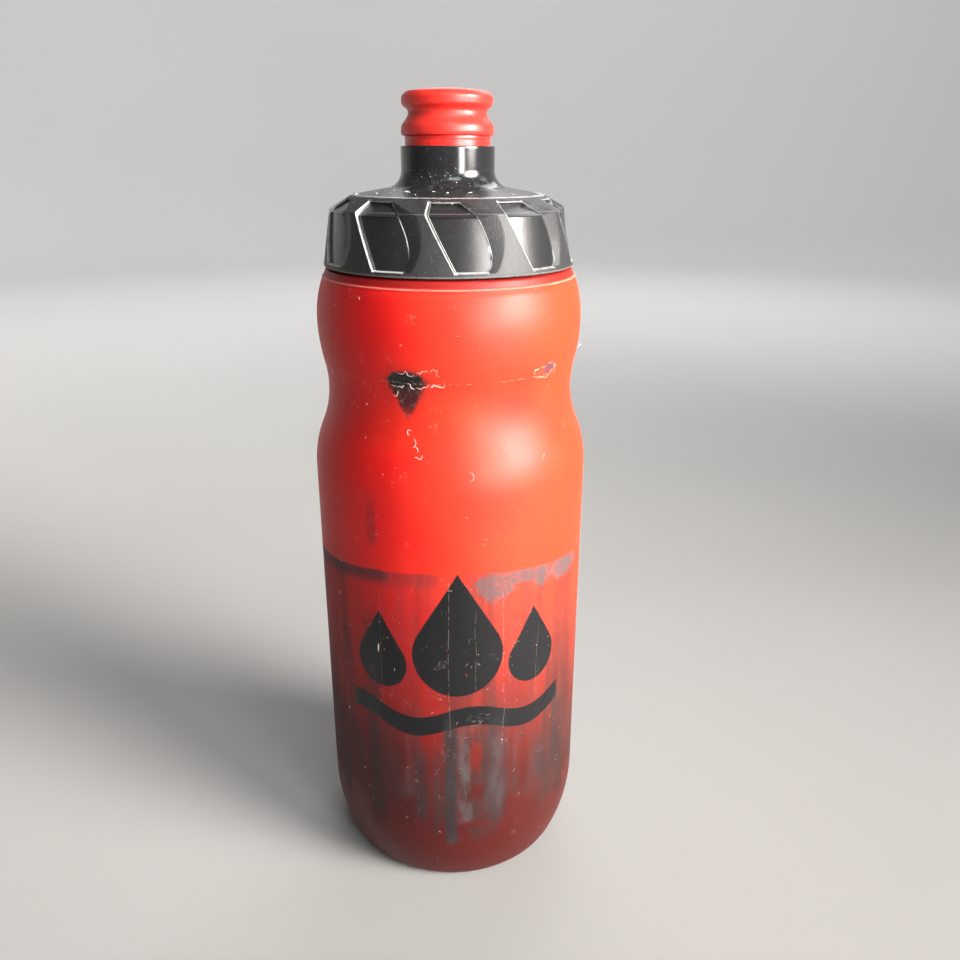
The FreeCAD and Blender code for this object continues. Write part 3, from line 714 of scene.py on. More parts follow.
class Shader:
    """A short way to write a material: each call adds a node and gives back its output."""

    def __init__(self, name):
        self.material = bpy.data.materials.new(name)
        self.material.use_nodes = True
        self.tree = self.material.node_tree
        self.surface = self.tree.nodes["Principled BSDF"]
        position = self.node("ShaderNodeTexCoord").outputs["Object"]
        scale = self.node("ShaderNodeVectorMath", operation="SCALE")
        self.link(position, scale.inputs[0])
        scale.inputs["Scale"].default_value = 1 / MM
        self.place = scale.outputs[0]
        split = self.node("ShaderNodeSeparateXYZ")
        self.link(self.place, split.inputs[0])
        self.x, self.y, self.height = split.outputs
        self.azimuth = self.math("ARCTAN2", self.x, self.math("MULTIPLY", self.y, -1.0))

    def node(self, kind, **settings):
        made = self.tree.nodes.new(kind)
        for name, value in settings.items():
            setattr(made, name, value)
        return made

    def link(self, source, target):
        if isinstance(source, bpy.types.NodeSocket):
            self.tree.links.new(source, target)
        else:
            target.default_value = source

    def feed(self, node, **inputs):
        """Links or sets a node's inputs by name, with _ for a space."""
        for name, source in inputs.items():
            self.link(source, node.inputs[name.replace("_", " ")])

    def math(self, operation, *values, clamp=False):
        made = self.node("ShaderNodeMath", operation=operation, use_clamp=clamp)
        for socket, value in zip(made.inputs, values):
            self.link(value, socket)
        return made.outputs[0]

    def chain(self, operation, values):
        result = values[0]
        for value in values[1:]:
            result = self.math(operation, result, value)
        return result

    def times(self, *values):
        return self.chain("MULTIPLY", values)

    def most(self, *values):
        return self.chain("MAXIMUM", values)

    def least(self, *values):
        return self.chain("MINIMUM", values)

    def plus(self, first, second):
        return self.math("ADD", first, second)

    def minus(self, first, second):
        return self.math("SUBTRACT", first, second)

    def abs(self, value):
        return self.math("ABSOLUTE", value)

    def linear(self, value, gain, base):
        """value * gain + base"""
        return self.math("MULTIPLY_ADD", value, gain, base)

    def step(self, value, low, high):
        """0 at low, 1 at high; low may be the larger."""
        made = self.node("ShaderNodeMapRange", interpolation_type="SMOOTHSTEP", clamp=True)
        self.feed(made, Value=value, From_Min=low, From_Max=high)
        return made.outputs["Result"]

    def stretched(self, across, up):
        """The position with its horizontal and vertical lengths scaled."""
        made = self.node("ShaderNodeVectorMath", operation="MULTIPLY")
        self.link(self.place, made.inputs[0])
        made.inputs[1].default_value = (across, across, up)
        return made.outputs[0]

    def noise(self, scale, detail=3.0, rough=0.5, offset=0.0, place=None, distortion=0.0):
        """Noise whose grain is about 1 / scale millimetres."""
        made = self.node("ShaderNodeTexNoise", noise_dimensions="4D")
        self.feed(made, Vector=place or self.place, W=offset, Scale=scale, Detail=detail)
        self.feed(made, Roughness=rough, Distortion=distortion)
        return made.outputs["Fac"]

    def swing(self, *settings):
        """Noise about 0 instead of a half."""
        return self.minus(self.noise(*settings), 0.5)

    def threads(self, scale, width, offset, distortion=1.5):
        """Thin winding lines, for scratches and lint: where a noise passes through its middle."""
        apart = self.abs(self.swing(scale, 2.0, 0.5, offset, None, distortion))
        return self.step(apart, width, 0.0)

    def specks(self, scale, size, share, offset=0.0):
        """Small spots, one in a share of the cells of a Voronoi pattern."""
        made = self.node("ShaderNodeTexVoronoi", voronoi_dimensions="4D")
        self.feed(made, Vector=self.place, W=offset, Scale=scale)
        chosen = self.step(self.split_colour(made.outputs["Color"])[0], share, share * 0.9)
        return self.times(self.step(made.outputs["Distance"], size, size * 0.5), chosen)

    def split_colour(self, colour):
        made = self.node("ShaderNodeSeparateColor")
        self.link(colour, made.inputs[0])
        return made.outputs

    def attribute(self, name):
        return self.node("ShaderNodeAttribute", attribute_name=name).outputs["Fac"]

    def mix(self, share, first, second):
        """A colour that goes from first to second as share goes from 0 to 1."""
        made = self.node("ShaderNodeMix", data_type="RGBA")
        self.link(share, made.inputs["Factor"])
        for socket, colour in ((made.inputs["A"], first), (made.inputs["B"], second)):
            colours = [s for s in made.inputs if s.name == socket.name and s.type == "RGBA"]
            self.link(colour if not isinstance(colour, tuple) else (*colour, 1.0), colours[0])
        return next(s for s in made.outputs if s.type == "RGBA")

    def bump(self, height, distance, strength=1.0, before=None):
        """distance is the relief in millimetres."""
        made = self.node("ShaderNodeBump")
        self.feed(made, Strength=strength, Distance=distance * MM, Height=height)
        if before:
            self.feed(made, Normal=before)
        return made.outputs["Normal"]

    def finish(self, colour, roughness, normal, soft=None, **fixed):
        """soft is how much light goes under the skin, how far for each colour, and the scale in
        metres. fixed are numbers that are the same all over, set on the shader itself."""
        self.feed(self.surface, Base_Color=colour, Roughness=roughness, Normal=normal, **fixed)
        if soft:
            weight, reach, scale = soft
            self.feed(
                self.surface, Subsurface_Weight=weight, Subsurface_Radius=reach, Subsurface_Scale=scale
            )
        return self.material


def dress(piece, material):
    piece.data.materials.clear()
    piece.data.materials.append(material)


# ---------------------------------------------------------------- materials

# The first two reds are painted shade and painted highlight tints of one red: the shaded left side and
# the lit right side.
RED_SHADED_SIDE = (0.56, 0.006, 0.006)
RED_LIT_SIDE = (0.55, 0.044, 0.013)
# A near black red towards the base: partly painted shade where the light falls off downwards, partly
# stain.
RED_LOW_SHADE_AND_STAIN = (0.034, 0.0014, 0.0014)
# Painted shadow colour for the shoulder ledge under the cap's rim.
RED_LEDGE_SHADOW = (0.17, 0.005, 0.006)
INK = (0.005, 0.005, 0.006)
SOOT = (0.014, 0.014, 0.016)
EARTH = (0.028, 0.011, 0.009)
SLATE = (0.070, 0.068, 0.073)
# Pale marks on the skin, also used for a painted glint along the crease.
PALE_SKIN_AND_GLINT = (0.80, 0.64, 0.56)
BAND_DIP = 4.0          # how much lower the dust's upper edge lies at the sides than in front
# Dried grey patches under that edge: azimuth, height, half width, half height, noise offset.
GREY_PATCHES = (
    (17.5, 97.0, 5.8, 4.4, 41.0), (39.0, 97.4, 3.2, 3.6, 42.0), (54.5, 96.3, 7.6, 3.4, 43.0),
    (28.0, 98.6, 7.0, 2.2, 44.0),
)
# Scratches down the print: azimuth, lowest and highest height, width, noise offset.
SCRATCHES = (
    (-1.5, 52.0, 102.0, 0.09, 71.0), (21.0, 50.0, 97.0, 0.08, 75.0), (-31.0, 60.0, 96.0, 0.07, 79.0),
    (9.0, 66.0, 92.0, 0.07, 83.0), (38.0, 58.0, 84.0, 0.07, 87.0),
)


def drop_shape(s, azimuth, bottom, radius, height):
    """Distance in millimetres to a water drop's outline, less than 0 inside: a circle, and the two
    straight sides that touch it and meet at the tip. It is centred at an azimuth in degrees."""
    across = s.minus(s.azimuth, math.radians(azimuth))
    across = s.abs(s.times(across, BODY_RADIUS))
    up = s.minus(s.height, bottom + radius)
    tip = height - radius
    circle = s.math("SQRT", s.plus(s.times(across, across), s.times(up, up)))
    circle = s.minus(circle, radius)
    slope = math.asin(radius / tip)
    side = s.plus(s.times(across, math.cos(slope)), s.times(s.minus(up, tip), math.sin(slope)))
    cone = s.most(side, s.minus(radius * math.sin(slope), up))
    return s.least(circle, cone)


def printed_mark(s):
    """A plain pictogram of water drops over a wave, as any bottle may have. 1 where there is ink."""
    warp = s.times(s.swing(0.8, 2.0), 0.35)
    big = drop_shape(s, 2.0, 66.0, 12.0, 35.5)
    left = drop_shape(s, -31.0, 66.5, 7.6, 22.5)
    right = drop_shape(s, 35.0, 66.5, 7.6, 22.5)
    sine = s.math("SINE", s.linear(s.azimuth, 7.2, 0.6))
    middle = s.minus(s.height, s.linear(sine, 1.9, 57.8))
    ends = s.minus(s.abs(s.minus(s.azimuth, 0.035)), 0.86)
    wave = s.minus(s.abs(middle), 2.9)
    wave = s.most(wave, s.times(ends, BODY_RADIUS))
    nearest = s.plus(s.least(big, left, right, wave), warp)
    return s.step(nearest, 0.12, -0.12)


def patch(s, azimuth, height, wide, tall, warp=0.45, grain=0.35, offset=0.0, tilt=0.0):
    """Distance from the middle of a ragged patch, 1 at its edge. Sizes are half sizes in mm."""
    across, up = flat_place(s, azimuth, height)
    up = s.math("DIVIDE", s.minus(up, s.times(across, tilt)), tall)
    across = s.times(across, 1 / wide)
    far = s.math("SQRT", s.plus(s.times(across, across), s.times(up, up)))
    ragged = s.swing(grain, 4.0, 0.6, offset)
    return s.linear(ragged, 2 * warp, far)


def flat_place(s, azimuth, height):
    """Millimetres to the right of, and above, a point on the wall."""
    across = s.minus(s.azimuth, math.radians(azimuth))
    return s.times(across, BODY_RADIUS), s.minus(s.height, height)


def upright_line(s, azimuth, low, high, width, offset):
    """A thin scratch down the wall, wavering a little and broken in places."""
    across, up = flat_place(s, azimuth, 0.0)
    waver = s.times(s.swing(0.06, 2.0, 0.5, offset), 2.5)
    apart = s.abs(s.plus(across, waver))
    ends = s.times(s.step(s.height, low, low + 3), s.step(s.height, high, high - 3))
    broken = s.step(s.noise(0.5, 3.0, 0.6, offset + 1), 0.42, 0.5)
    return s.times(s.step(apart, width, width * 0.4), ends, broken)


def shell_material():
    s = Shader("scuffed_red_polyethylene")
    cloud = s.swing(0.04, 2.0)
    # Painted highlight tint: the red turns oranger towards the lit right side and deeper on the shaded
    # left, and a noise breaks up the border.
    lit_side_tint = s.step(s.linear(cloud, 60.0, s.x), -22.0, 30.0)
    colour = s.mix(lit_side_tint, RED_SHADED_SIDE, RED_LIT_SIDE)
    # Darker towards the bottom: partly painted shade where the light falls off downwards, partly stain.
    low_shade_and_stain = s.linear(cloud, 30.0, s.height)
    colour = s.mix(s.times(s.step(low_shade_and_stain, 112.0, 32.0), 0.95), colour, RED_LOW_SHADE_AND_STAIN)
    # Painted shadow under the cap: the shoulder ledge and everything above the crease is darkened.
    ledge_shadow = s.step(s.height, CREASE_HEIGHT + 0.1, CREASE_HEIGHT + 0.5)
    colour = s.mix(s.times(ledge_shadow, 0.8), colour, RED_LEDGE_SHADOW)

    # Film of road dust under a sharp upper edge: wide soft runs, a finer grain, and a speckle.
    waver = s.times(s.swing(0.12, 3.0, 0.6, 33.0), 1.6)
    dip = s.times(s.x, s.x, BAND_DIP / BODY_RADIUS**2)
    edge = s.plus(s.plus(s.height, dip), waver)
    below = s.step(edge, GRIME_HIGH + 0.35, GRIME_HIGH - 0.35)
    wide = s.noise(0.13, 2.0, 0.5, 3.0, s.stretched(1.0, 0.07))
    narrow = s.noise(0.42, 3.0, 0.6, 9.0, s.stretched(1.0, 0.1))
    speckle = s.noise(1.5, 4.0, 0.7, 12.0)
    amount = s.linear(s.step(wide, 0.45, 0.55), 0.65, 0.33)
    amount = s.times(amount, s.linear(s.step(narrow, 0.41, 0.55), 0.45, 0.55))
    amount = s.times(amount, s.linear(s.step(speckle, 0.3, 0.65), 0.4, 0.6))
    amount = s.times(amount, s.linear(below, 0.93, 0.07))
    grime = s.math("MULTIPLY", s.attribute("grime"), amount, clamp=True)
    colour = s.mix(grime, colour, EARTH)

    # Ink, worn off in lines and spots.
    ink = printed_mark(s)
    chips = s.step(s.noise(0.42, 5.0, 0.62, 31.0, s.stretched(1.0, 0.45)), 0.71, 0.72)
    lines = s.most(*[upright_line(s, *line) for line in SCRATCHES])
    ink = s.times(ink, s.minus(1.0, chips))
    colour = s.mix(ink, colour, INK)

    # The darker rub of the cage, smoky at its edges.
    rub_noise = s.noise(0.35, 4.0, 0.6, 5.0, s.stretched(1.0, 0.5))
    rub = s.times(s.attribute("rub"), s.step(rub_noise, 0.26, 0.5))
    smear = s.times(s.attribute("smear"), s.step(rub_noise, 0.12, 0.44), below)
    rub = s.times(s.most(rub, smear), s.linear(s.step(speckle, 0.3, 0.6), 0.3, 0.7))
    colour = s.mix(s.times(rub, 0.92), colour, SOOT)

    # Grey haze where dust stays in fine scratches, thin over the ink, and a tan line on one side.
    haze = s.noise(0.30, 5.0, 0.65, 13.0, s.stretched(1.0, 0.35))
    haze = s.times(s.attribute("haze"), s.step(haze, 0.38, 0.60), below)
    film = s.most(*[
        s.step(patch(s, *spot, 0.95, 0.6, offset), 1.1, 0.65) for *spot, offset in GREY_PATCHES
    ])
    film = s.times(film, below, s.linear(s.step(speckle, 0.35, 0.6), 0.4, 0.6))
    haze = s.most(s.times(haze, 0.7), s.times(film, 0.9))
    haze = s.times(haze, s.linear(ink, -0.85, 1.0))
    colour = s.mix(haze, colour, SLATE)
    side, rise = flat_place(s, 77.5, 80.0)
    side = s.step(s.abs(side), 2.6, 0.4)
    side = s.times(side, s.step(s.abs(rise), 58.0, 48.0))
    side = s.times(side, s.step(s.noise(0.5, 4.0, 0.7, 91.0, s.stretched(1.0, 0.25)), 0.42, 0.62))
    colour = s.mix(s.times(side, 0.5), colour, (0.20, 0.12, 0.09))

    # Two scuffs at the waist: skin rubbed black, and a smoky run below the first.
    soot_spot = patch(s, -18.8, 149.2, 4.9, 2.6, 0.5, 0.45, 21.0)
    across, up = flat_place(s, -18.2, 138.4)
    taper = s.minus(s.abs(across), s.times(up, 0.56))
    frayed = s.times(s.swing(0.6, 4.0, 0.6, 4.0), 2.6)
    drip = s.step(s.plus(taper, frayed), 0.6, -1.1)
    drip = s.times(drip, s.step(s.height, 150.0, 148.5), s.step(s.height, 136.6, 143.5))
    blue_spot = patch(s, 46.0, 150.3, 2.6, 1.3, 0.6, 0.5, 16.0, 0.25)
    black = s.most(s.step(soot_spot, 1.08, 0.8), s.times(drip, 0.9))
    # Painted shade of the hollow waist: a darker red blur round the first scuff.
    waist_shade = s.times(s.step(patch(s, -17.6, 147.6, 8.5, 6.5, 0.5, 0.3, 9.0), 1.1, 0.3), 0.5)
    soot = s.mix(s.step(s.noise(1.1, 4.0), 0.5, 0.75), (0.008, 0.007, 0.008), (0.10, 0.09, 0.09))
    colour = s.mix(waist_shade, colour, (0.16, 0.012, 0.012))
    colour = s.mix(black, colour, soot)
    colour = s.mix(s.times(s.step(blue_spot, 1.0, 0.7), 0.85), colour, (0.045, 0.04, 0.06))

    # Faint scratch round the waist, dust specks in loose groups, short hairs, and a painted glint along
    # the crease.
    up = s.plus(s.minus(s.height, 148.6), s.times(waver, 0.6))
    round_line = s.step(s.abs(up), 0.11, 0.04)
    round_line = s.times(round_line, s.step(s.noise(0.8, 3.0, 0.6, 66.0), 0.50, 0.60))
    few = s.step(s.noise(0.23, 1.0, 0.5, 44.0), 0.64, 0.66)
    hairs = s.times(s.threads(0.28, 0.0035, 55.0), few)
    grouped = s.step(s.noise(0.1, 2.0, 0.5, 47.0), 0.45, 0.6)
    dots = s.most(
        s.times(s.specks(0.5, 0.08, 0.9), grouped),
        s.times(s.specks(1.1, 0.12, 0.7, 3.0), grouped, 0.8),
        s.specks(0.16, 0.035, 0.7, 7.0),
    )
    # Painted glint: a pale broken line along the crease, where its bead catches the light.
    crease_glint = s.step(s.abs(s.minus(s.height, CREASE_HEIGHT)), 0.22, 0.08)
    crease_glint = s.times(crease_glint, s.noise(0.3, 3.0, 0.6, 88.0), 0.42)
    marks_and_glint = s.most(s.times(hairs, 0.4), s.times(round_line, 0.25), s.times(dots, 0.8), crease_glint)
    worn = s.most(s.specks(1.7, 0.16, 0.4, 17.0), s.specks(0.8, 0.1, 0.4, 18.0))
    scuffed = s.step(s.noise(0.14, 3.0, 0.6, 36.0), 0.45, 0.6)
    marks_and_glint = s.most(marks_and_glint, s.times(lines, 0.13), s.times(worn, scuffed, ink, 0.35))
    colour = s.mix(marks_and_glint, colour, PALE_SKIN_AND_GLINT)

    matte = s.times(s.attribute("grime"), below, s.minus(1.0, ink))
    rough = s.linear(matte, 0.16, 0.46)
    rough = s.plus(rough, s.times(s.most(marks_and_glint, haze), 0.2))
    rough = s.plus(rough, s.times(s.swing(0.5, 4.0), 0.12))
    skin = s.noise(1.3, 2.0)
    normal = s.bump(skin, 0.05, 0.35)
    normal = s.bump(s.noise(0.05, 2.0, 0.5, 60.0, s.stretched(1.0, 0.5)), 0.9, 0.35, normal)
    relief = s.minus(s.times(hairs, 0.4), s.times(black, 0.5))
    normal = s.bump(relief, 0.18, 0.8, normal)
    soft = (0.3, (1.0, 0.3, 0.15), 0.004)
    return s.finish(colour, rough, normal, soft, Specular_IOR_Level=0.28, IOR=1.5)


def cap_material():
    s = Shader("black_moulded_polypropylene")
    gloss = s.attribute("gloss")
    colour = s.mix(s.noise(0.12, 3.0), (0.009, 0.009, 0.010), (0.017, 0.017, 0.019))

    # Pale edges of the pads: the top and the foot of the left wall, the lower and upper edges and
    # the thin right edge. Each is a signed distance in millimetres.
    left, right = s.attribute("from_left"), s.attribute("from_right")
    low, high = s.attribute("from_low"), s.attribute("from_high")
    beside = s.step(s.least(left, right), -0.35, -0.15)
    within = s.step(s.least(low, high), -0.35, -0.15)
    near = s.step(s.least(left, right), -0.6, -0.4)

    def line(distance, middle, width):
        apart = s.abs(s.minus(distance, middle))
        return s.step(apart, width, width * 0.35)

    edges = s.most(
        s.times(s.most(line(left, -0.12, 0.16), line(left, 0.36, 0.13)), within, near),
        s.times(line(low, 0.12, 0.2), beside),
        s.times(line(high, 0.1, 0.18), beside, 0.8),
        s.times(line(right, 0.0, 0.12), within, near, 0.45),
    )
    above = s.minus(s.height, RIM)
    fold = s.times(line(above, SKIRT_HEIGHT, 0.16), 0.14)
    crown = s.times(line(above, DOME_HEIGHT, 0.14), 0.7)
    rim = s.times(line(above, 0.25, 0.3), 0.25)
    worn = s.most(edges, fold, crown, rim)
    patchy = s.step(s.noise(0.5, 4.0, 0.6, 2.0), 0.36, 0.5)
    worn = s.times(worn, s.linear(patchy, 0.6, 0.4))

    dots = s.most(
        s.specks(0.7, 0.16, 0.9),
        s.times(s.specks(1.2, 0.19, 0.8, 5.0), 0.85),
        s.times(s.specks(2.2, 0.2, 0.6, 8.0), 0.6),
    )
    dots = s.times(dots, s.attribute("dust"))
    film = s.step(s.noise(0.6, 5.0, 0.7, 11.0), 0.5, 0.8)
    film = s.times(film, s.attribute("dust"))
    sparse = s.step(s.noise(0.2, 1.0, 0.5, 14.0), 0.62, 0.65)
    hairs = s.times(s.threads(0.3, 0.005, 19.0), sparse)
    grain = s.noise(2.6, 3.0, 0.6, 23.0)
    matte = s.minus(1.0, gloss)
    colour = s.mix(s.times(matte, s.step(grain, 0.3, 0.7)), colour, (0.025, 0.025, 0.027))
    colour = s.mix(s.times(film, 0.3), colour, (0.30, 0.28, 0.27))
    colour = s.mix(s.times(worn, 0.8), colour, (0.50, 0.50, 0.51))
    colour = s.mix(s.most(s.times(dots, 0.85), s.times(hairs, 0.06)), colour, (0.75, 0.74, 0.72))
    rough = s.linear(gloss, -0.37, 0.52)
    rough = s.plus(rough, s.times(s.most(worn, film), 0.2))
    normal = s.bump(s.times(grain, matte), 0.12, 0.7)
    normal = s.bump(s.noise(0.16, 2.0, 0.5, 27.0), 0.25, 0.2, normal)
    return s.finish(colour, rough, normal, IOR=1.49)


def sleeve_material():
    s = Shader("soft_red_rubber")
    colour = s.mix(s.noise(0.2, 3.0), (0.60, 0.020, 0.014), (0.72, 0.034, 0.024))
    dots = s.times(s.specks(0.9, 0.1, 0.14), 0.7)
    lint = s.times(s.threads(0.3, 0.003, 4.0, 2.0), s.step(s.noise(0.2, 2.0), 0.56, 0.62))
    pale = s.most(dots, s.times(lint, 0.5))
    crown = s.step(s.height, SLEEVE_HIGH.z - 1.6, SLEEVE_HIGH.z - 0.4)
    bite = s.times(crown, s.step(s.noise(0.9, 4.0, 0.65, 9.0), 0.55, 0.7))
    colour = s.mix(s.times(bite, 0.35), colour, (0.80, 0.45, 0.38))
    colour = s.mix(pale, colour, (0.85, 0.75, 0.72))
    rough = s.linear(s.noise(0.6, 3.0, 0.5, 6.0), 0.14, 0.32)
    normal = s.bump(s.noise(1.4, 3.0, 0.5, 3.0), 0.06, 0.4)
    normal = s.bump(s.noise(0.12, 2.0, 0.5, 8.0), 0.5, 0.3, normal)
    return s.finish(colour, rough, normal, (0.3, (1.0, 0.25, 0.15), 0.003), IOR=1.48)


def plain_plastic(name, first, second, rough, soft=None):
    """A moulded inner part: slight colour change, fine skin and a few specks."""
    s = Shader(name)
    colour = s.mix(s.noise(0.3, 3.0), first, second)
    colour = s.mix(s.times(s.specks(0.8, 0.1, 0.15), 0.6), colour, (0.7, 0.68, 0.66))
    rougher = s.linear(s.noise(0.7, 3.0, 0.5, 5.0), 0.16, rough - 0.08)
    ring = s.math("SINE", s.times(s.height, 9.0))
    normal = s.bump(s.linear(ring, 0.15, s.noise(1.2, 3.0, 0.5, 7.0)), 0.04, 0.5)
    return s.finish(colour, rougher, normal, soft)


# ---------------------------------------------------------------- painted-on wear: numbers per vertex


def spread(azimuth, middle, half):
    """1 at an azimuth in degrees, falling to 0 at half degrees away."""
    apart = abs(math.degrees(wrapped(azimuth - math.radians(middle))))
    return 1 - ramp(apart, 0.0, half)


GRIME_LOW, GRIME_HIGH = 17.0, 101.5     # heights between which the cage and the road marked it
# Upright runs: azimuth in degrees, half width in degrees, lowest and highest height, strength.
CAGE_RUNS = (
    (-1.6, 4.5, 16.0, 64.0, 1.0), (-14.5, 4.0, 24.0, 52.0, 0.75), (-27.0, 8.5, 29.0, 60.0, 0.35),
    (-36.0, 6.5, 22.0, 92.0, 0.6), (-50.0, 5.0, 40.0, 86.0, 0.42), (14.0, 4.0, 27.0, 52.0, 0.4),
    (18.8, 7.0, 22.0, 66.0, 0.6), (41.0, 5.5, 30.0, 50.0, 0.55), (52.0, 5.5, 30.0, 62.0, 0.5),
    (-33.0, 3.6, 106.0, 124.0, 0.5), (118.0, 7.0, 22.0, 80.0, 0.6), (150.0, 6.0, 26.0, 64.0, 0.7),
    (176.0, 9.0, 20.0, 88.0, 0.6), (-150.0, 6.0, 28.0, 70.0, 0.6), (-112.0, 7.0, 22.0, 90.0, 0.6),
)
# Smears under the band's upper edge: azimuth, half width, depth in millimetres, strength.
BAND_SMEARS = (
    (-70.0, 26.0, 5.0, 0.9), (-42.0, 27.0, 5.0, 0.95), (-16.0, 20.0, 5.5, 0.45),
    (54.0, 12.0, 4.0, 0.25), (140.0, 45.0, 7.0, 0.9), (-130.0, 40.0, 7.0, 0.8),
)
# Clean spots in the dust: azimuth, height, half width and half height in millimetres.
CLEAN_SPOTS = (
    (9.5, 46.5, 1.6, 4.6), (9.9, 35.0, 2.0, 2.6), (8.0, 23.5, 4.0, 1.5), (-9.0, 54.0, 2.6, 7.0),
    (31.0, 40.0, 1.6, 9.0),
)
# Pale haze, in the same columns as the smears and the runs above.
HAZE_SMEARS = ((34.0, 32.0, 6.0, 0.5), (-168.0, 30.0, 9.0, 0.8))
HAZE_RUNS = (
    (4.5, 5.0, 22.0, 60.0, 0.9), (-0.5, 5.0, 13.5, 22.0, 0.8), (18.0, 7.0, 26.0, 58.0, 0.5),
    (-20.0, 7.0, 30.0, 58.0, 0.4), (56.0, 7.0, 40.0, 90.0, 0.22),
)


def dusty_at(azimuth, height):
    """Near 0 in a clean spot, 1 away from them."""
    ragged = noise.noise(Vector((azimuth * BODY_RADIUS * 0.4, height * 0.4, 2.0)))
    result = 1.0
    for middle, level, wide, tall in CLEAN_SPOTS:
        across = wrapped(azimuth - math.radians(middle)) * BODY_RADIUS / wide
        up = (height - level) / tall
        if abs(across) < 2 and abs(up) < 2:
            result *= ramp((across**4 + up**4) ** 0.25 + 0.6 * ragged, 0.8, 1.15)
    return 0.2 + 0.8 * result


def grime_at(azimuth, height):
    """Dried dust: all round, from a wandering lower edge upwards."""
    if height < 4:
        return 0.0
    wander = noise.noise(Vector((math.sin(azimuth) * 3.2, math.cos(azimuth) * 3.2, 3.0)))
    columns = noise.noise(Vector((math.sin(azimuth) * 8.0, math.cos(azimuth) * 8.0, 8.0)))
    low = GRIME_LOW + 1 + 6 * wander + 6 * ramp(columns, -0.12, 0.12)
    lower = 0.72 + 0.28 * ramp(height, 62, 50)
    clean = 1 - 0.65 * spread(azimuth, -3, 15) * ramp(height, 86, 100)
    return ramp(height, low, low + 6) * lower * clean * ramp(height, 170, 125) * dusty_at(azimuth, height)


def strongest_run(table, azimuth, height, start, shape):
    """start is the height in which a run reaches its full strength, shape how it fades sideways."""
    result = 0.0
    for middle, half, low, high, strength in table:
        ends = ramp(height, low, low + start) * ramp(height, high, high - 10)
        result = max(result, strength * shape(spread(azimuth, middle, half)) * ends)
    return result


def strongest_smear(table, azimuth, level, solid, full):
    """solid is the share of its depth where a smear is at its full strength, full the same sideways."""
    result = 0.0
    for middle, half, depth, strength in table:
        fade = ramp(level, GRIME_HIGH - depth, GRIME_HIGH - depth * solid)
        result = max(result, strength * ramp(spread(azimuth, middle, half), 0.0, full) * fade)
    return result


def rub_at(azimuth, height):
    """Dark upright runs where the cage's arms rubbed and dirty water ran down."""
    run = strongest_run(CAGE_RUNS, azimuth, height, 3.0, lambda share: ramp(share, 0.12, 0.6))
    return run * dusty_at(azimuth, height)


def band_height(azimuth, height):
    """The height measured as if the band's upper edge were level."""
    return height + BAND_DIP * math.sin(azimuth) ** 2


def smear_at(azimuth, height):
    """A smoky edge under the top of the band."""
    if height > GRIME_HIGH + 3:
        return 0.0
    return strongest_smear(BAND_SMEARS, azimuth, band_height(azimuth, height), 0.35, 0.6)


def haze_at(azimuth, height):
    """Pale dust held in fine scratches, most on the right of the band and over the print."""
    smear = strongest_smear(HAZE_SMEARS, azimuth, band_height(azimuth, height), 0.4, 0.5)
    run = strongest_run(HAZE_RUNS, azimuth, height, 4, lambda share: share)
    over = 0.13 * ramp(height, 24, 40) * (1 - 0.8 * spread(azimuth, -3, 15) * ramp(height, 86, 100))
    return max(smear, run, over) * dusty_at(azimuth, height)


def paint_shell(piece):
    """The wear is on the wall only, not on the neck, the shoulder or the middle of the base."""
    for name, wear in (("grime", grime_at), ("rub", rub_at), ("smear", smear_at), ("haze", haze_at)):

        def on_wall_only(azimuth, radius, height):
            return 0.0 if radius < BODY_RADIUS - 8 else wear(azimuth, height)

        paint(piece, name, on_wall_only)


def paint_cap(piece):
    """gloss: 1 on the polished pads and the collar. dust: where dust lies. And signed distances in
    millimetres to the pad's four edges, positive inside it."""

    half_rib, clear = 6.0, 3.0          # degrees, and the largest distance that is kept

    def pad_place(azimuth, height):
        above = height - RIM
        left, right, scoop = pad_azimuths(above)
        degrees = (math.degrees(azimuth) - left + half_rib) % SECTOR_DEGREES - half_rib
        arc = math.radians(1.0) * SKIRT_RADIUS
        return degrees * arc, (right - left - degrees) * arc, above - RIM_BAND, PAD_TOP_HEIGHT - above

    def on_skirt(radius, height):
        return radius > DOME_RADIUS - 0.5 and height > RIM + 0.4 and height < RIM + DOME_HEIGHT + 0.1

    def edge(number):
        def distance(azimuth, radius, height):
            if not on_skirt(radius, height) or radius < SKIRT_BORE - 3.5:
                return -clear
            place = pad_place(azimuth, height)
            if number < 2 and place[1 - number] < -clear / 2:    # far past the other side
                return -clear
            return max(-clear, min(clear, place[number]))

        return distance

    def gloss(azimuth, radius, height):
        if radius < COLLAR_RADIUS + 4:
            return 1.0
        if height - RIM > DOME_HEIGHT - 0.1:
            return 0.55
        return 0.66 * ramp(min(pad_place(azimuth, height)), 0.0, 0.25)

    def dust(azimuth, radius, height):
        above = height - RIM
        top = ramp(above, SKIRT_HEIGHT - 1, DOME_HEIGHT) * ramp(above, COLLAR_FOOT + 1.5, COLLAR_FOOT - 1)
        return max(0.12, top)

    paint(piece, "gloss", gloss)
    paint(piece, "dust", dust)
    for number, name in enumerate(("from_left", "from_right", "from_low", "from_high")):
        paint(piece, name, edge(number))


# ---------------------------------------------------------------- assembly

shell = make_shell()
paint_shell(shell)
dress(shell, shell_material())
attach(shell, "bottle")
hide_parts("bottle_body")

torn = make_torn_skin()
pale_plastic = plain_plastic(
    "torn_polyethylene_skin", (0.72, 0.42, 0.33), (0.86, 0.74, 0.66), 0.55, (0.2, (1.0, 0.5, 0.4), 0.001)
)
dress(torn, pale_plastic)
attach(torn, "bottle")

lint = make_lint()
dress(lint, plain_plastic("grey_lint", (0.55, 0.54, 0.52), (0.75, 0.74, 0.72), 0.8))
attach(lint, "cap")

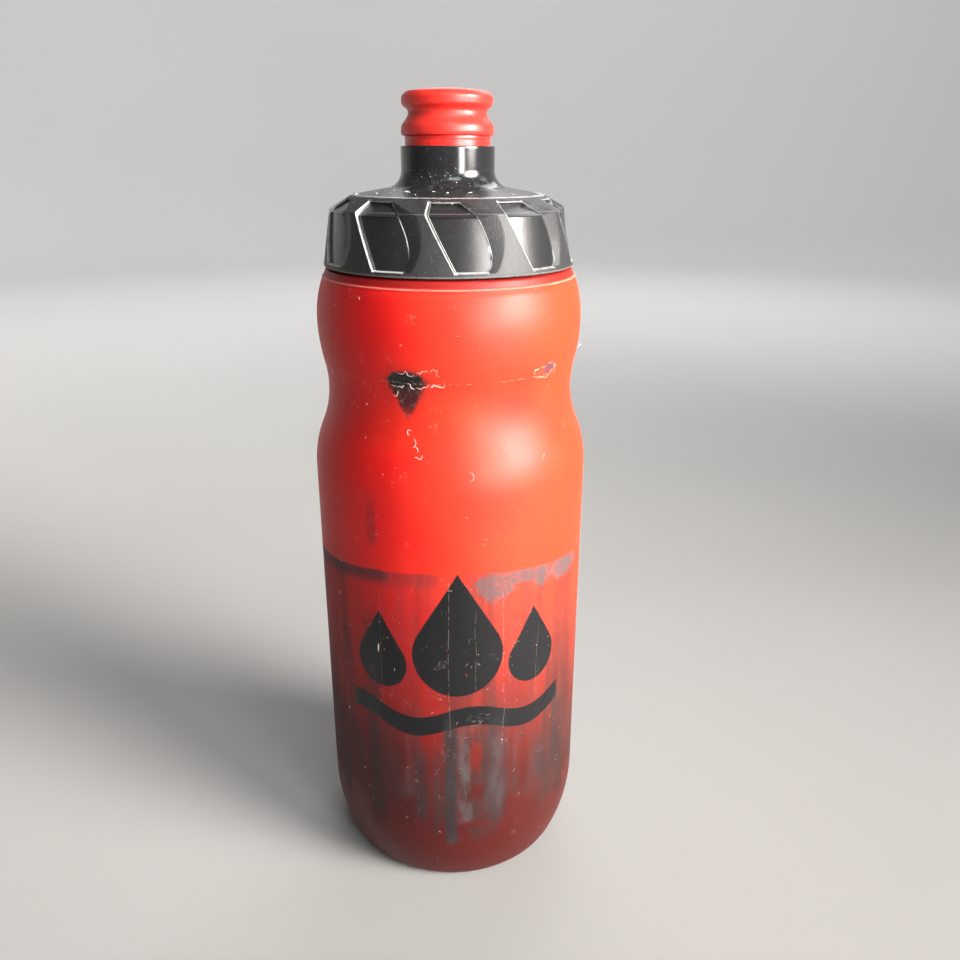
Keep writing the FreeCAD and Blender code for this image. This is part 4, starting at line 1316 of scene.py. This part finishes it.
cap = make_cap()
paint_cap(cap)
dress(cap, cap_material())
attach(cap, "cap")
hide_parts("screw_cap")

sleeve = make_sleeve()
dress(sleeve, sleeve_material())
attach(sleeve, "nozzle")
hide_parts("mouthpiece")

stem = make_stem()
red_plastic = plain_plastic(
    "red_moulded_plastic", (0.58, 0.018, 0.014), (0.66, 0.028, 0.02), 0.3,
    (0.15, (1.0, 0.25, 0.15), 0.002),
)
dress(stem, red_plastic)
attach(stem, "nozzle")
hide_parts("nozzle_stem")

gasket = make_gasket()
silicone = plain_plastic(
    "pale_silicone", (0.58, 0.57, 0.54), (0.66, 0.65, 0.62), 0.5, (0.2, (1.0, 0.9, 0.8), 0.002)
)
dress(gasket, silicone)
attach(gasket, "gasket")
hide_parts("cap_gasket")

black_plastic = plain_plastic("black_insert_plastic", (0.012, 0.012, 0.013), (0.022, 0.022, 0.024), 0.35)
black_rubber = plain_plastic("black_rubber", (0.012, 0.012, 0.012), (0.02, 0.02, 0.02), 0.5)
for node, material in (("valve_insert", black_plastic), ("nozzle_seal", black_rubber)):
    dress(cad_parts[node], material)


# ---------------------------------------------------------------- floor, light and camera


def make_floor():
    """A wide pale bowl: flat where the bottle stands, curving up far away on every side."""
    flat, bend, top = 1500, 700, 1700
    profile = [(0.0, 0.0), (150.0, 0.0), (500.0, 0.0)]
    profile += sampled_arc((flat, bend), bend, -math.pi / 2, 0.0, 90)
    profile += [(flat + bend, bend), (flat + bend, top)]

    def place(row, column):
        radius, height = profile[row]
        return radius, FULL_TURN * column / 96, height + FLOOR_HEIGHT

    floor = lattice("floor", profile, 96, False, place)
    floor.data.shade_smooth()
    s = Shader("pale_matte_board")
    colour = s.mix(s.noise(0.01, 3.0), (0.35, 0.347, 0.343), (0.38, 0.377, 0.373))
    reach = s.math("SQRT", s.plus(s.times(s.x, s.x), s.times(s.y, s.y)))
    colour = s.mix(s.step(reach, 250.0, 1900.0), colour, (0.66, 0.657, 0.652))
    normal = s.bump(s.noise(0.8, 3.0), 0.05, 0.3)
    dress(floor, s.finish(colour, s.linear(s.noise(0.02, 3.0), 0.1, 0.65), normal))


def area_light(name, azimuth, elevation, distance, size, power, colour=(1.0, 1.0, 1.0)):
    """A soft panel round the middle of the bottle. Azimuth 0 is in front, 90 to the right."""
    middle = Vector((0, 0, (cad_box[0].z + cad_box[1].z) / 2))
    a, e = math.radians(azimuth), math.radians(elevation)
    away = Vector((math.sin(a) * math.cos(e), -math.cos(a) * math.cos(e), math.sin(e)))
    data = bpy.data.lights.new(name, "AREA")
    data.shape = "RECTANGLE"
    data.size, data.size_y = size
    data.energy = power
    data.color = colour
    lamp = bpy.data.objects.new(name, data)
    lamp.location = middle + away * distance
    bpy.context.scene.collection.objects.link(lamp)
    aim(lamp, middle)
    return lamp


def aim(lamp, target):
    lamp.rotation_euler = (target - lamp.location).to_track_quat("-Z", "Y").to_euler()


def make_lights():
    key = area_light("key", 60, 25, 0.95, (0.56, 0.66), 5.4, (1.0, 0.96, 0.90))
    key.data.spread = math.radians(42)
    aim(key, Vector((0, 0, cad_box[1].z * 1.12)))
    strip = area_light("strip", 34, 12, 1.0, (0.22, 0.55), 0.6, (1.0, 0.97, 0.94))
    strip.data.spread = math.radians(36)
    aim(strip, Vector((0, 0, cad_box[1].z * 1.15)))
    area_light("fill", 20, 52, 1.3, (0.5, 0.4), 5.0, (1.0, 0.98, 0.96))
    area_light("back", 165, 40, 1.3, (0.9, 0.6), 6.0)
    wall = area_light("wall", 180, 55, 1.0, (1.4, 0.5), 16.0)
    aim(wall, Vector((0, 2.2, 0.2)))
    world = bpy.data.worlds.new("studio")
    world.use_nodes = True
    background = world.node_tree.nodes["Background"]
    background.inputs["Color"].default_value = (0.97, 0.98, 1.0, 1.0)
    background.inputs["Strength"].default_value = 0.14
    bpy.context.scene.world = world
    bpy.context.scene.view_settings.view_transform = "Standard"


def make_camera():
    data = bpy.data.cameras.new("camera")
    data.lens, data.sensor_width = FOCAL_LENGTH, SENSOR
    data.clip_start, data.clip_end = 0.01, 20.0
    camera = bpy.data.objects.new("camera", data)
    turn = Matrix.Rotation(-CAMERA_RIGHT, 4, "Z")
    turn @= Matrix.Rotation(math.pi / 2 - CAMERA_DOWN, 4, "X")
    turn @= Matrix.Rotation(CAMERA_ROLL, 4, "Z")
    place = Vector((0, -CAMERA_DISTANCE * MM, cad_box[0].z + CAMERA_HEIGHT * MM))
    camera.matrix_world = Matrix.Translation(place) @ turn
    bpy.context.scene.collection.objects.link(camera)
    bpy.context.scene.camera = camera


make_floor()
make_lights()
make_camera()
